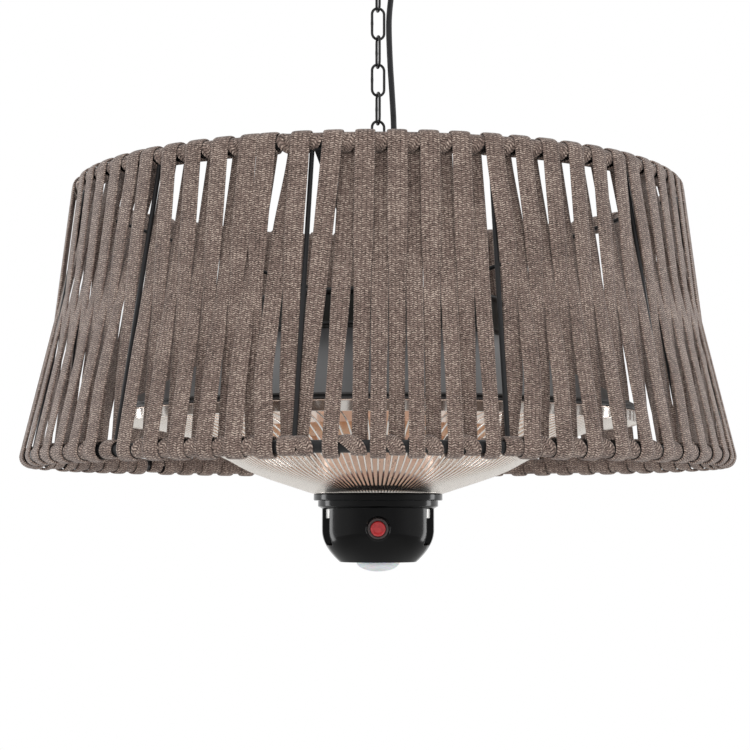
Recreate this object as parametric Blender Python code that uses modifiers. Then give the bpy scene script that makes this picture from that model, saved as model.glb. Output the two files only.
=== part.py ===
"""Hanging patio heater: a strap-wound shade round an electric heater, hung from the ceiling on a chain.

Metres, +Z up. The origin is the middle of the ceiling plate's top face, and everything hangs below it.
The front, with the push button, faces -Y. An azimuth is counted from the front towards +X, in degrees.
"""

import math

import bmesh
import bpy
import numpy as np
from mathutils import Matrix, Vector

# Fits
SEAT_GAP = 0.0003
HOLE_CLEARANCE = 0.0004
OVERRUN = 0.004

# Ceiling plate, its screws and its cable gland
PLATE_RADIUS = 0.042
PLATE_THICKNESS = 0.004
CEILING_SCREW_SPACING = 0.060
SCREW_HEAD_RADIUS = 0.0045
SCREW_HEAD_HEIGHT = 0.0024
SCREW_SHANK_RADIUS = 0.002
SCREW_END_RECESS = 0.0005
CEILING_GLAND_X = 0.014
CEILING_GLAND_Y = 0.016

# Ceiling hook
HOOK_WIRE = 0.005
HOOK_RADIUS = 0.009
HOOK_NECK = 0.0187
HOOK_FLANGE_RADIUS = 0.008
HOOK_FLANGE_THICKNESS = 0.003
HOOK_THREAD_RADIUS = 0.003
HOOK_THREAD_DEPTH = 0.0025
HOOK_ARC = 300.0

# Chain
LINK_WIRE = 0.0025
LINK_LENGTH = 0.0323
LINK_WIDTH = 0.0142
LINK_COUNT = 10

# Mains cable and its strain reliefs
CABLE_DIAMETER = 0.0055
GLAND_LENGTH = 0.024
GLAND_BASE_RADIUS = 0.0065
GLAND_TIP_WALL = 0.0012
GLAND_FOOT_HEIGHT = 0.005
CAP_GLAND_RADIUS = 0.038
CAP_GLAND_AZIMUTH = 125.0

# Eyebolt, its nut and the hub plate over the spokes' feet
EYE_WIRE = 0.005
EYE_RADIUS = 0.0085
EYE_NECK = 0.0094
EYE_COLLAR_RADIUS = 0.007
EYE_COLLAR_THICKNESS = 0.003
EYE_THREAD_RADIUS = 0.003
EYE_THREAD_END = 0.004
NUT_WIDTH = 0.010
NUT_THICKNESS = 0.005
HUB_PLATE_RADIUS = 0.028
HUB_PLATE_THICKNESS = 0.003

# Spokes
SPOKE_COUNT = 4
SPOKE_WIDTH = 0.008
SPOKE_THICKNESS = 0.003
SPOKE_FOOT_START = 0.009
SPOKE_OVERHANG = 0.002

# Shade frame: two tube rings and the struts between them
TOP_RING_RADIUS = 0.2739
BOTTOM_RING_RADIUS = 0.3174
RING_TUBE = 0.010
FRAME_HEIGHT = 0.2435
TOP_RING_ABOVE_CAP = 0.0961
STRUT_DIAMETER = 0.004
STRUT_COUNT = 12
FIRST_STRUT_AZIMUTH = -11.0

# Strap windings, one in each bay between two struts
STRAP_WIDTH = 0.0118
STRAP_THICKNESS = 0.002
STRAP_SEAT_GAP = 0.0007
STRUT_SIDE_GAP = 0.0008
LEAST_RUN_GAP = 0.0005
RUN_SPACING = 0.0135
SHORT_BAY_EVERY = 3
WRAP_STEPS = 4

# Cap and hood
SHEET = 0.0012
CAP_RADIUS = 0.115
CAP_HEIGHT = 0.036
CAP_LIP = 0.0015
CAP_LIP_HEIGHT = 0.004
HOOD_TOP_MARGIN = 0.0015
HOOD_RIM_RADIUS = 0.2405
HOOD_DROP = 0.0647
HOOD_RIM_HEIGHT = 0.005
HOOD_WIRE_HOLE = 0.012

# Terminal block inside the cap
TERMINAL_LENGTH = 0.034
TERMINAL_WIDTH = 0.018
TERMINAL_HEIGHT = 0.014
TERMINAL_WAYS = 3
TERMINAL_SCREW_RADIUS = 0.0024
TERMINAL_SCREW_DEPTH = 0.004
TERMINAL_X = -0.050

# Reflector and column
REFLECTOR_SHEET = 0.0008
REFLECTOR_BELOW_HOOD = 0.0125
REFLECTOR_FLAT_RADIUS = 0.128
REFLECTOR_LIP = 0.006
COLUMN_RADIUS = 0.057

# Heating tube, its ceramic ends and its clips
TUBE_RING_RADIUS = 0.118
TUBE_DIAMETER = 0.012
TUBE_DROP = 0.0745
TUBE_OPENING = 40.0
TUBE_POINTS = 24
CERAMIC_LENGTH = 0.020
CERAMIC_WIDTH = 0.018
CERAMIC_HEIGHT = 0.022
POST_RADIUS = 0.004
CLIP_WIRE = 0.0024
CLIP_AZIMUTH = 65.0

# Grille
GRILLE_RIM_RADIUS = 0.2395
GRILLE_RIM_HEIGHT = 0.0066
GRILLE_DEPTH = 0.0642
GRILLE_SHEET = 0.0018
GRILLE_SHOULDER_RADIUS = 0.193
GRILLE_MIDDLE_RADIUS = 0.113
GRILLE_SHOULDER_DEPTH_SHARE = 0.125
GRILLE_MIDDLE_DEPTH_SHARE = 0.71
GRILLE_BARS = 48
GRILLE_BAR_WIDTH = 0.0022
GRILLE_HUB_OUTER = 0.062
GRILLE_HUB_INNER = 0.050

# Control box
FLANGE_RADIUS = 0.0596
FLANGE_THICKNESS = 0.0063
FLANGE_HOLE_RADIUS = 0.012
BOX_WALL = 0.002
BOX_COLLAR_RADIUS = 0.0556
BOX_COLLAR_HEIGHT = 0.005
BOX_SHOULDER_HEIGHT = 0.002
BOX_RADIUS = 0.0519
BOX_STRAIGHT_HEIGHT = 0.0197
BOX_CURVE_HEIGHT = 0.0295
BOX_BASE_RADIUS = 0.0352
BOX_CURVE_STEPS = 3
SLOT_AZIMUTH = 69.0
SLOT_WIDTH = 0.016
SLOT_HEIGHT = 0.032
SLOT_BELOW_SHOULDER = 0.001
SIDE_CLIP_WIDTH = 0.009
SIDE_CLIP_THICKNESS = 0.001
SIDE_CLIP_LENGTH = 0.016

# Push button
BUTTON_RADIUS = 0.0068
BUTTON_CLEARANCE = 0.0004
BUTTON_BELOW_FLANGE = 0.0258
BUTTON_TRAVEL = 0.0015
BUTTON_PROUD = 0.0014
BUTTON_COLLAR_RADIUS = 0.0082
BUTTON_COLLAR_THICKNESS = 0.0015
BEZEL_RADIUS = 0.0113
BEZEL_PROUD = 0.0023
BEZEL_WALL = 0.0015
BEZEL_BARREL_LENGTH = 0.008

# Boards and lamp lens
BOARD_WIDTH = 0.058
BOARD_THICKNESS = 0.0016
BOARD_HEIGHT = 0.036
SWITCH_WIDTH = 0.012
SWITCH_DEPTH = 0.006
LAMP_BOARD_RADIUS = 0.030
LAMP_CHIP_WIDTH = 0.012
LAMP_CHIP_HEIGHT = 0.0016
LENS_RADIUS = 0.020
LENS_DEPTH = 0.0088
LENS_WALL = 0.0015

# Facets
ROUND_STEPS = 48
MIDDLE_STEPS = 36
SMALL_STEPS = 16
RING_SIDES = 8
STRUT_SIDES = 6
LENS_STEPS = 3
LENS_SIDES = 24
CLIP_STEPS = 12
LINK_ARC_STEPS = 5
CABLE_STEP_SHARE = 2.4
CABLE_SIDES_RESOLUTION = 2
SHARP_ANGLE = 35.0

# Heights of the ceiling hook, the chain and the eyebolt
hook_flange_top = -PLATE_THICKNESS - SEAT_GAP
hook_flange_bottom = hook_flange_top - HOOK_FLANGE_THICKNESS
hook_thread_top = -PLATE_THICKNESS + HOOK_THREAD_DEPTH
hook_centre = hook_flange_bottom - HOOK_NECK - HOOK_RADIUS
hook_wire_z = hook_centre - HOOK_RADIUS
link_reach = (LINK_LENGTH - LINK_WIRE) / 2
link_pitch = LINK_LENGTH - 2 * LINK_WIRE - SEAT_GAP
first_link_z = hook_wire_z + (HOOK_WIRE + LINK_WIRE) / 2 + SEAT_GAP - link_reach
last_link_z = first_link_z - (LINK_COUNT - 1) * link_pitch
eye_wire_z = last_link_z - link_reach + (LINK_WIRE + EYE_WIRE) / 2 + SEAT_GAP
eye_centre = eye_wire_z - EYE_RADIUS
eye_collar_top = eye_centre - EYE_RADIUS - EYE_NECK
eye_collar_bottom = eye_collar_top - EYE_COLLAR_THICKNESS

# Heights of the hub, the cap, the hood and what is in it
hub_plate_top = eye_collar_bottom - SEAT_GAP
spoke_foot_top = hub_plate_top - HUB_PLATE_THICKNESS - SEAT_GAP
cap_top = spoke_foot_top - SPOKE_THICKNESS - SEAT_GAP
hood_top = cap_top - CAP_HEIGHT - SEAT_GAP
hood_rim_top = hood_top - HOOD_DROP
hood_rim_bottom = hood_rim_top - HOOD_RIM_HEIGHT
reflector_top = hood_top - REFLECTOR_BELOW_HOOD
reflector_flat_bottom = reflector_top - REFLECTOR_SHEET
reflector_lip_top = hood_rim_bottom - SEAT_GAP
tube_z = reflector_flat_bottom - TUBE_DROP
grille_rim_top = reflector_lip_top - REFLECTOR_SHEET - SEAT_GAP
grille_rim_bottom = grille_rim_top - GRILLE_RIM_HEIGHT
grille_hub_z = grille_rim_bottom - GRILLE_DEPTH
column_bottom = grille_hub_z + GRILLE_SHEET / 2 + SEAT_GAP
column_top = hood_top - SHEET - SEAT_GAP

# Heights of the control box
flange_top = grille_hub_z - GRILLE_SHEET / 2 - SEAT_GAP
flange_bottom = flange_top - FLANGE_THICKNESS
box_top = flange_bottom - SEAT_GAP
box_shoulder_top = box_top - BOX_COLLAR_HEIGHT
box_shoulder_bottom = box_shoulder_top - BOX_SHOULDER_HEIGHT
box_curve_top = box_shoulder_bottom - BOX_STRAIGHT_HEIGHT
box_bottom = box_curve_top - BOX_CURVE_HEIGHT
button_z = flange_bottom - BUTTON_BELOW_FLANGE
button_front = -(BOX_RADIUS + BEZEL_PROUD + BUTTON_PROUD)
lens_hole_radius = LENS_RADIUS + HOLE_CLEARANCE

# Rings, struts and the strap's way round them, in the plane of radius and height
top_ring_z = cap_top + TOP_RING_ABOVE_CAP
bottom_ring_z = top_ring_z - FRAME_HEIGHT
bay_angle = 360.0 / STRUT_COUNT
strap_wrap_radius = RING_TUBE / 2 + STRAP_SEAT_GAP + STRAP_THICKNESS / 2
spoke_offset = math.degrees((SPOKE_WIDTH / 2 + STRUT_DIAMETER / 2 + SEAT_GAP) / TOP_RING_RADIUS)

COLOURS = {
    "strap": ((0.182, 0.140, 0.115), 0.90, 0.0),
    "black_paint": ((0.012, 0.012, 0.013), 0.45, 0.0),
    "grey_paint": ((0.115, 0.120, 0.122), 0.42, 0.2),
    "cap_paint": ((0.018, 0.020, 0.020), 0.50, 0.0),
    "polished": ((0.83, 0.80, 0.78), 0.12, 1.0),
    "steel": ((0.62, 0.62, 0.62), 0.28, 1.0),
    "amber_glass": ((0.90, 0.38, 0.20), 0.10, 0.0),
    "ceramic": ((0.80, 0.78, 0.73), 0.55, 0.0),
    "gloss_black": ((0.008, 0.008, 0.009), 0.12, 0.0),
    "red_button": ((0.55, 0.02, 0.03), 0.20, 0.0),
    "white_lens": ((0.80, 0.81, 0.84), 0.25, 0.0),
    "board_green": ((0.03, 0.16, 0.07), 0.50, 0.0),
    "cable_black": ((0.020, 0.020, 0.022), 0.55, 0.0),
    "terminal_white": ((0.75, 0.75, 0.72), 0.50, 0.0),
}


def corner_radius(radius, step_angle):
    """The corners' radius on a ring of straight runs whose middles lie on this radius."""
    return radius / math.cos(step_angle / 2)


def around(radius, azimuth, z):
    """The point at this radius, azimuth and height."""
    turn = math.radians(azimuth)
    return Vector((radius * math.sin(turn), -radius * math.cos(turn), z))


def material(name):
    """The Principled material of this name, made the first time that it is asked for."""
    found = bpy.data.materials.get(name)
    if found:
        return found
    made = bpy.data.materials.new(name)
    made.use_nodes = True
    shader = made.node_tree.nodes["Principled BSDF"]
    colour, roughness, metallic = COLOURS[name]
    shader.inputs["Base Color"].default_value = (*colour, 1.0)
    shader.inputs["Roughness"].default_value = roughness
    shader.inputs["Metallic"].default_value = metallic
    return made


def place(name, data, finish, parent=None):
    """Adds an object with this data, in world coordinates, to the heater's collection."""
    obj = bpy.data.objects.new(name, data)
    heater_parts.objects.link(obj)
    if finish:
        data.materials.append(material(finish))
    if parent:
        obj.parent = parent
        obj.matrix_parent_inverse = parent.matrix_world.inverted()
    return obj


def shade_smooth(mesh):
    """Smooth shading with sharp edges where faces meet at a real corner."""
    mesh.shade_smooth()
    mesh.set_sharp_from_angle(angle=math.radians(SHARP_ANGLE))


def as_mesh(obj):
    """Replaces the object by one with its evaluated mesh, whose doubles are merged."""
    bpy.context.view_layer.update()
    graph = bpy.context.evaluated_depsgraph_get()
    mesh = bpy.data.meshes.new_from_object(obj.evaluated_get(graph))
    mesh.transform(obj.matrix_world)
    welded = bmesh.new()
    welded.from_mesh(mesh)
    bmesh.ops.remove_doubles(welded, verts=welded.verts, dist=0.000001)
    welded.to_mesh(mesh)
    welded.free()
    name = obj.name
    parent = obj.parent
    bpy.data.objects.remove(obj)
    made = place(name, mesh, None, parent)
    shade_smooth(mesh)
    return made


def turned(name, profile, finish, steps=ROUND_STEPS, closed=False, wall=None, parent=None):
    """A turned form: its profile of (radius, height) points runs down the outer side."""
    mesh = bpy.data.meshes.new(name)
    points = [(radius, 0.0, z) for radius, z in profile]
    edges = [(i, i + 1) for i in range(len(points) - 1)]
    if closed:
        edges.append((len(points) - 1, 0))
    mesh.from_pydata(points, edges, [])
    obj = place(name, mesh, finish, parent)
    screw = obj.modifiers.new("turn", "SCREW")
    screw.steps = steps
    screw.render_steps = steps
    screw.use_merge_vertices = True
    screw.merge_threshold = 0.00001
    if wall:
        shell = obj.modifiers.new("wall", "SOLIDIFY")
        shell.thickness = wall
        shell.offset = -1.0
        shell.use_even_offset = True
    return as_mesh(obj)


def tube(name, points, diameter, finish, cyclic=False, resolution=2, parent=None):
    """A round bar along these points, with capped ends unless it is a closed ring."""
    curve = bpy.data.curves.new(name, "CURVE")
    curve.dimensions = "3D"
    curve.bevel_depth = diameter / 2
    curve.bevel_resolution = resolution
    curve.use_fill_caps = not cyclic
    spline = curve.splines.new("POLY")
    spline.points.add(len(points) - 1)
    for place_on, point in zip(spline.points, points):
        place_on.co = (*point, 1.0)
    spline.use_cyclic_u = cyclic
    return as_mesh(place(name, curve, finish, parent))


def cylinder(name, radius, start, end, finish, steps=SMALL_STEPS, parent=None):
    """A straight round bar from start to end."""
    start = Vector(start)
    end = Vector(end)
    along = end - start
    mesh = bpy.data.meshes.new(name)
    shape = bmesh.new()
    bmesh.ops.create_cone(
        shape, cap_ends=True, segments=steps, radius1=radius, radius2=radius, depth=along.length
    )
    shape.to_mesh(mesh)
    shape.free()
    shade_smooth(mesh)
    bar = place(name, mesh, finish, parent)
    bar.location = (start + end) / 2
    bar.rotation_euler = along.to_track_quat("Z", "Y").to_euler()
    return bar


def box(name, size, centre, finish, azimuth=0.0, parent=None):
    """A block of this size at this centre, with its front towards this azimuth."""
    mesh = bpy.data.meshes.new(name)
    shape = bmesh.new()
    bmesh.ops.create_cube(shape, size=1.0)
    shape.transform(Matrix.Diagonal((*size, 1.0)))
    shape.to_mesh(mesh)
    shape.free()
    block = place(name, mesh, finish, parent)
    block.location = centre
    block.rotation_euler.z = math.radians(azimuth)
    return block


def hide_cutter(cutter):
    """Puts a helper with the cutters, where no render shows it."""
    for holder in cutter.users_collection:
        holder.objects.unlink(cutter)
    cutters.objects.link(cutter)
    cutter.hide_render = True
    cutter.display_type = "WIRE"


def combine(obj, other, operation):
    """Cuts the other object from this one, or joins it to this one."""
    hide_cutter(other)
    change = obj.modifiers.new(other.name, "BOOLEAN")
    change.operation = operation
    change.solver = "EXACT"
    change.object = other


def cut(obj, cutter):
    combine(obj, cutter, "DIFFERENCE")


def join(obj, other):
    combine(obj, other, "UNION")


def ceiling_plate():
    plate_bottom = (0.0, 0.0, -PLATE_THICKNESS)
    face = (0.0, 0.0, 0.0)
    plate = cylinder("ceiling_plate", PLATE_RADIUS, plate_bottom, face, "black_paint", MIDDLE_STEPS)
    below = -PLATE_THICKNESS - OVERRUN
    for side, name in ((-1, "left"), (1, "right")):
        x = side * CEILING_SCREW_SPACING / 2
        radius = SCREW_SHANK_RADIUS + HOLE_CLEARANCE
        cut(plate, cylinder(f"screw_hole_{name}", radius, (x, 0.0, below), (x, 0.0, OVERRUN), None))
        head_top = -PLATE_THICKNESS - SEAT_GAP
        screw = turned(
            f"ceiling_screw_{name}",
            [
                (0.0, -SCREW_END_RECESS),
                (SCREW_SHANK_RADIUS, -SCREW_END_RECESS),
                (SCREW_SHANK_RADIUS, head_top),
                (SCREW_HEAD_RADIUS, head_top),
                (SCREW_HEAD_RADIUS, head_top - SCREW_HEAD_HEIGHT / 2),
                (SCREW_HEAD_RADIUS - SCREW_HEAD_HEIGHT / 2, head_top - SCREW_HEAD_HEIGHT),
                (0.0, head_top - SCREW_HEAD_HEIGHT),
            ],
            "steel",
            steps=SMALL_STEPS,
        )
        screw.location.x = x
    thread_hole = HOOK_THREAD_RADIUS + HOLE_CLEARANCE
    hole_top = (0.0, 0.0, hook_thread_top + SEAT_GAP)
    cut(plate, cylinder("hook_hole", thread_hole, (0.0, 0.0, below), hole_top, None))
    gland = Vector((CEILING_GLAND_X, CEILING_GLAND_Y, 0.0))
    cable_hole = CABLE_DIAMETER / 2 + HOLE_CLEARANCE
    up = Vector((0.0, 0.0, OVERRUN))
    down = Vector((0.0, 0.0, below))
    cut(plate, cylinder("cable_hole", cable_hole, gland + down, gland + up, None))


def strain_relief(name, seat, pointing, parent=None):
    """A tapered cable gland that stands on its seat and points up (1) or down (-1)."""
    tip_radius = CABLE_DIAMETER / 2 + GLAND_TIP_WALL
    outline = [
        (0.0, GLAND_LENGTH),
        (tip_radius, GLAND_LENGTH),
        (GLAND_BASE_RADIUS - GLAND_TIP_WALL, GLAND_FOOT_HEIGHT),
        (GLAND_BASE_RADIUS, GLAND_FOOT_HEIGHT),
        (GLAND_BASE_RADIUS, SEAT_GAP),
        (0.0, SEAT_GAP),
    ]
    if pointing < 0:
        outline = [(radius, -height) for radius, height in reversed(outline)]
    gland = turned(name, outline, "cable_black", steps=SMALL_STEPS, parent=parent)
    gland.location = seat


def ceiling_hook():
    points = []
    radius = corner_radius(HOOK_RADIUS, math.radians(HOOK_ARC / SMALL_STEPS))
    for step in range(SMALL_STEPS + 1):
        turn = math.radians(90.0 + HOOK_ARC * step / SMALL_STEPS)
        points.append((radius * math.cos(turn), 0.0, hook_centre + radius * math.sin(turn)))
    hook = tube("ceiling_hook", points, HOOK_WIRE, "black_paint")
    ring_top = hook_centre + HOOK_RADIUS
    stem = turned(
        "hook_stem",
        [
            (0.0, hook_thread_top),
            (HOOK_THREAD_RADIUS, hook_thread_top),
            (HOOK_THREAD_RADIUS, hook_flange_top),
            (HOOK_FLANGE_RADIUS, hook_flange_top),
            (HOOK_FLANGE_RADIUS, hook_flange_bottom),
            (HOOK_WIRE * 0.55, hook_flange_bottom),
            (HOOK_WIRE * 0.55, ring_top - HOOK_WIRE / 4),
            (0.0, ring_top - HOOK_WIRE / 4),
        ],
        None,
        steps=SMALL_STEPS,
    )
    join(hook, stem)


def chain(parent):
    """Oval links that share one mesh. The first stands across the front view, the next faces it."""
    half = LINK_WIDTH / 2 - LINK_WIRE / 2
    rise = link_reach - half
    bow = corner_radius(half, math.pi / LINK_ARC_STEPS)
    points = []
    for side in (1, -1):
        for step in range(LINK_ARC_STEPS + 1):
            turn = math.radians(180.0 * step / LINK_ARC_STEPS)
            points.append((side * half * math.cos(turn), 0.0, side * (rise + bow * math.sin(turn))))
    first = tube("link_01", points, LINK_WIRE, "black_paint", cyclic=True, resolution=1, parent=parent)
    for index in range(LINK_COUNT):
        link = first if index == 0 else place(f"link_{index + 1:02d}", first.data, None, parent)
        link.location.z = first_link_z - index * link_pitch
        link.rotation_euler.z = math.radians(90.0 * ((index + 1) % 2))


def smooth_route(points, step):
    """Points about a step apart on a Catmull-Rom curve through the given ones."""
    route = [Vector(point) for point in points]
    ends = [2 * route[0] - route[1], *route, 2 * route[-1] - route[-2]]
    found = []
    for before, start, end, after in zip(ends, ends[1:], ends[2:], ends[3:]):
        parts = max(1, round((end - start).length / step))
        for part in range(parts):
            t = part / parts
            leaving = (end - before) / 2
            arriving = (after - start) / 2
            found.append(
                (2 * t**3 - 3 * t**2 + 1) * start
                + (t**3 - 2 * t**2 + t) * leaving
                + (3 * t**2 - 2 * t**3) * end
                + (t**3 - t**2) * arriving
            )
    found.append(route[-1])
    return found


def cable_routes():
    """The cable's points, chosen by hand, from the ceiling gland down to the middle and on to the cap."""
    ceiling_exit = Vector((CEILING_GLAND_X, CEILING_GLAND_Y, -PLATE_THICKNESS - GLAND_LENGTH - SEAT_GAP))
    cap_exit = around(CAP_GLAND_RADIUS, CAP_GLAND_AZIMUTH, cap_top + GLAND_LENGTH + SEAT_GAP)
    middle = Vector((0.0144, 0.0005, -0.1700))
    upper = [
        ceiling_exit,
        (0.0139, 0.0154, -0.0400),
        (0.0118, 0.0098, -0.0580),
        (0.0104, 0.0036, -0.0760),
        (0.0104, 0.0012, -0.0940),
        (0.0114, 0.0006, -0.1200),
        (0.0130, 0.0005, -0.1460),
        middle,
    ]
    lower = [
        middle - Vector((0.0, 0.0, SEAT_GAP)),
        (0.0154, 0.0008, -0.1960),
        (0.0178, 0.0034, -0.2260),
        (0.0214, 0.0086, -0.2540),
        (0.0260, 0.0150, -0.2800),
        (0.0296, 0.0200, -0.3020),
        cap_exit,
    ]
    return upper, lower


def mains_cable(parent):
    upper, lower = cable_routes()
    step = CABLE_STEP_SHARE * CABLE_DIAMETER
    for name, points in (("mains_cable_upper", upper), ("mains_cable_lower", lower)):
        route = smooth_route(points, step)
        tube(name, route, CABLE_DIAMETER, "cable_black", resolution=CABLE_SIDES_RESOLUTION, parent=parent)


def eyebolt(parent):
    """The eye stands across the last link, so its plane follows the number of links."""
    plane_azimuth = 0.0 if LINK_COUNT % 2 == 0 else 90.0
    points = []
    radius = corner_radius(EYE_RADIUS, math.radians(360.0 / SMALL_STEPS))
    for step in range(SMALL_STEPS):
        turn = math.radians(360.0 * (step + 0.5) / SMALL_STEPS)
        points.append(around(radius * math.cos(turn), plane_azimuth, eye_centre + radius * math.sin(turn)))
    eye = tube("eyebolt", points, EYE_WIRE, "black_paint", cyclic=True, parent=parent)
    thread_bottom = cap_top - SHEET - SEAT_GAP - NUT_THICKNESS - EYE_THREAD_END
    stem = turned(
        "eye_stem",
        [
            (0.0, eye_centre - EYE_RADIUS + EYE_WIRE / 4),
            (EYE_WIRE * 0.55, eye_centre - EYE_RADIUS + EYE_WIRE / 4),
            (EYE_WIRE * 0.55, eye_collar_top),
            (EYE_COLLAR_RADIUS, eye_collar_top),
            (EYE_COLLAR_RADIUS, eye_collar_bottom),
            (EYE_THREAD_RADIUS, eye_collar_bottom),
            (EYE_THREAD_RADIUS, thread_bottom),
            (0.0, thread_bottom),
        ],
        None,
        steps=SMALL_STEPS,
    )
    join(eye, stem)


def washer(name, outer, inner, top, bottom, finish, steps=SMALL_STEPS, parent=None):
    """A flat ring or, with six steps, a nut."""
    profile = [(outer, top), (outer, bottom), (inner, bottom), (inner, top)]
    return turned(name, profile, finish, steps=steps, closed=True, parent=parent)


def hub(parent):
    thread_hole = EYE_THREAD_RADIUS + HOLE_CLEARANCE
    washer(
        "hub_plate",
        HUB_PLATE_RADIUS,
        thread_hole,
        hub_plate_top,
        hub_plate_top - HUB_PLATE_THICKNESS,
        "black_paint",
        parent=parent,
    )
    nut_top = cap_top - SHEET - SEAT_GAP
    nut = cylinder(
        "eyebolt_nut",
        NUT_WIDTH / math.sqrt(3.0),
        (0.0, 0.0, nut_top - NUT_THICKNESS),
        (0.0, 0.0, nut_top),
        "steel",
        steps=6,
        parent=parent,
    )
    reach = Vector((0.0, 0.0, OVERRUN))
    start = Vector((0.0, 0.0, nut_top - NUT_THICKNESS))
    end = Vector((0.0, 0.0, nut_top))
    cut(nut, cylinder("nut_thread", thread_hole, start - reach, end + reach, None))


def spoke_outline():
    """The spoke seen from its side: a flat foot, then straight up to just under the top ring."""
    foot_z = spoke_foot_top - SPOKE_THICKNESS / 2
    bend = Vector((HUB_PLATE_RADIUS + SPOKE_THICKNESS, foot_z))
    to_ring = Vector((TOP_RING_RADIUS, top_ring_z)) - bend
    clear = RING_TUBE / 2 + SEAT_GAP + SPOKE_THICKNESS / 2
    rise = math.atan2(to_ring.y, to_ring.x) - math.asin(clear / to_ring.length)
    along = math.sqrt(to_ring.length_squared - clear**2) + SPOKE_OVERHANG
    end = bend + along * Vector((math.cos(rise), math.sin(rise)))
    square = SPOKE_THICKNESS / 2 * Vector((-math.sin(rise), math.cos(rise)))
    mitre = SPOKE_THICKNESS / 2 * Vector((-math.tan(rise / 2), 1.0))
    upright = Vector((0.0, SPOKE_THICKNESS / 2))
    foot = Vector((SPOKE_FOOT_START, foot_z))
    return [foot + upright, foot - upright, bend - mitre, end - square, end + square, bend + mitre]


def flat_bar(name, outline, width, finish, parent=None):
    """A 2D outline with this width, standing upright in the plane of X and Z."""
    curve = bpy.data.curves.new(name, "CURVE")
    curve.dimensions = "2D"
    curve.fill_mode = "BOTH"
    curve.extrude = width / 2
    spline = curve.splines.new("POLY")
    spline.points.add(len(outline) - 1)
    for place_on, (across, up) in zip(spline.points, outline):
        place_on.co = (across, up, 0.0, 1.0)
    spline.use_cyclic_u = True
    bar = place(name, curve, finish, parent)
    bar.rotation_euler.x = math.radians(90.0)
    return bar


def spokes(parent):
    """The bars stand beside every third strut, each with its foot under the hub plate."""
    names = ("front", "right", "back", "left")
    for index in range(SPOKE_COUNT):
        azimuth = FIRST_STRUT_AZIMUTH + spoke_offset + index * 360.0 / SPOKE_COUNT
        name = names[index] if SPOKE_COUNT == len(names) else f"{index + 1}"
        bar = flat_bar(f"spoke_{name}", spoke_outline(), SPOKE_WIDTH, "black_paint", parent)
        bar.rotation_euler.z = math.radians(azimuth - 90.0)


def ring_tube(name, radius, z, finish, parent=None):
    """A ring of straight runs, half of each one outside its true circle and half inside."""
    corners = (radius + corner_radius(radius, 2 * math.pi / ROUND_STEPS)) / 2
    points = [around(corners, 360.0 * step / ROUND_STEPS, z) for step in range(ROUND_STEPS)]
    return tube(name, points, RING_TUBE, finish, cyclic=True, parent=parent)


def shade_frame(parent):
    frame = ring_tube("shade_frame", TOP_RING_RADIUS, top_ring_z, "black_paint", parent)
    for index in range(STRUT_COUNT):
        azimuth = FIRST_STRUT_AZIMUTH + index * bay_angle
        top = around(TOP_RING_RADIUS, azimuth, top_ring_z)
        bottom = around(BOTTOM_RING_RADIUS, azimuth, bottom_ring_z)
        strut = cylinder(f"strut_{index + 1:02d}", STRUT_DIAMETER / 2, bottom, top, None, STRUT_SIDES)
        join(frame, strut)
    join(frame, ring_tube("bottom_ring", BOTTOM_RING_RADIUS, bottom_ring_z, None))
    return frame


def crossing_radius():
    """Radius at which the outward and inward runs of the strap pass each other, at mid-height."""
    return (TOP_RING_RADIUS + BOTTOM_RING_RADIUS) / 2


def most_turns():
    """As many turns as lie side by side in a bay, where the runs pass each other."""
    room = bay_arc() - STRUT_DIAMETER - 2 * STRUT_SIDE_GAP + LEAST_RUN_GAP
    return max(1, int(room / (2 * (STRAP_WIDTH + LEAST_RUN_GAP))))


def bay_arc():
    """Length of a bay where the runs pass each other."""
    return math.radians(bay_angle) * crossing_radius()


def run_spacing(runs):
    """From run to run where they pass each other: the usual spacing, or less where the bay is full."""
    room = bay_arc() - STRUT_DIAMETER - 2 * STRUT_SIDE_GAP - STRAP_WIDTH
    return min(RUN_SPACING, room / (runs - 1))


def winding_stations(turns):
    """The strap's middle line in one bay: (radius, height, share of the bay) at each station.

    The strap is wound as a figure of eight. It leaves the bottom ring on the outside, crosses to the
    inside of the top ring, goes over it and down the outside, crosses to the inside of the bottom ring
    and goes under it. Each run is a step further to the left, and runs pass each other side by side.
    """
    top = Vector((TOP_RING_RADIUS, top_ring_z))
    bottom = Vector((BOTTOM_RING_RADIUS, bottom_ring_z))
    upward = (top - bottom).normalized()
    outward = Vector((upward.y, -upward.x))
    lean = math.asin(2 * strap_wrap_radius / (top - bottom).length)
    wrap_step = (math.pi + 2 * lean) / WRAP_STEPS
    wrap_radius = corner_radius(strap_wrap_radius, wrap_step)
    runs = 2 * turns
    step_share = run_spacing(runs) / bay_arc()
    first_share = 0.5 + (runs - 1) / 2 * step_share

    def station(ring, angle, share):
        spot = ring + wrap_radius * (math.cos(angle) * outward + math.sin(angle) * upward)
        return (spot.x, spot.y, share)

    stations = [station(bottom, lean - step * wrap_step, first_share) for step in (2, 1)]
    for run in range(0, runs, 2):
        rising = first_share - run * step_share
        falling = rising - step_share
        stations.append(station(bottom, lean, rising))
        for step in range(WRAP_STEPS + 1):
            angle = math.pi + lean - step * wrap_step
            stations.append(station(top, angle, rising - step / WRAP_STEPS * step_share))
        last = run + 2 == runs
        for step in range(WRAP_STEPS // 2 + 1 if last else WRAP_STEPS):
            angle = math.pi - lean + step * wrap_step
            share = falling if last else falling - step / WRAP_STEPS * step_share
            stations.append(station(bottom, angle, share))
    return stations


def winding_rows(bay, turns):
    """The two edges of the strap at each station of this bay."""
    rows = []
    for radius, z, share in winding_stations(turns):
        azimuth = FIRST_STRUT_AZIMUTH + (bay + share) * bay_angle
        middle = around(radius, azimuth, z)
        side = around(STRAP_WIDTH / 2, azimuth + 90.0, 0.0)
        rows.append((middle - side, middle + side))
    return rows


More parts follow.
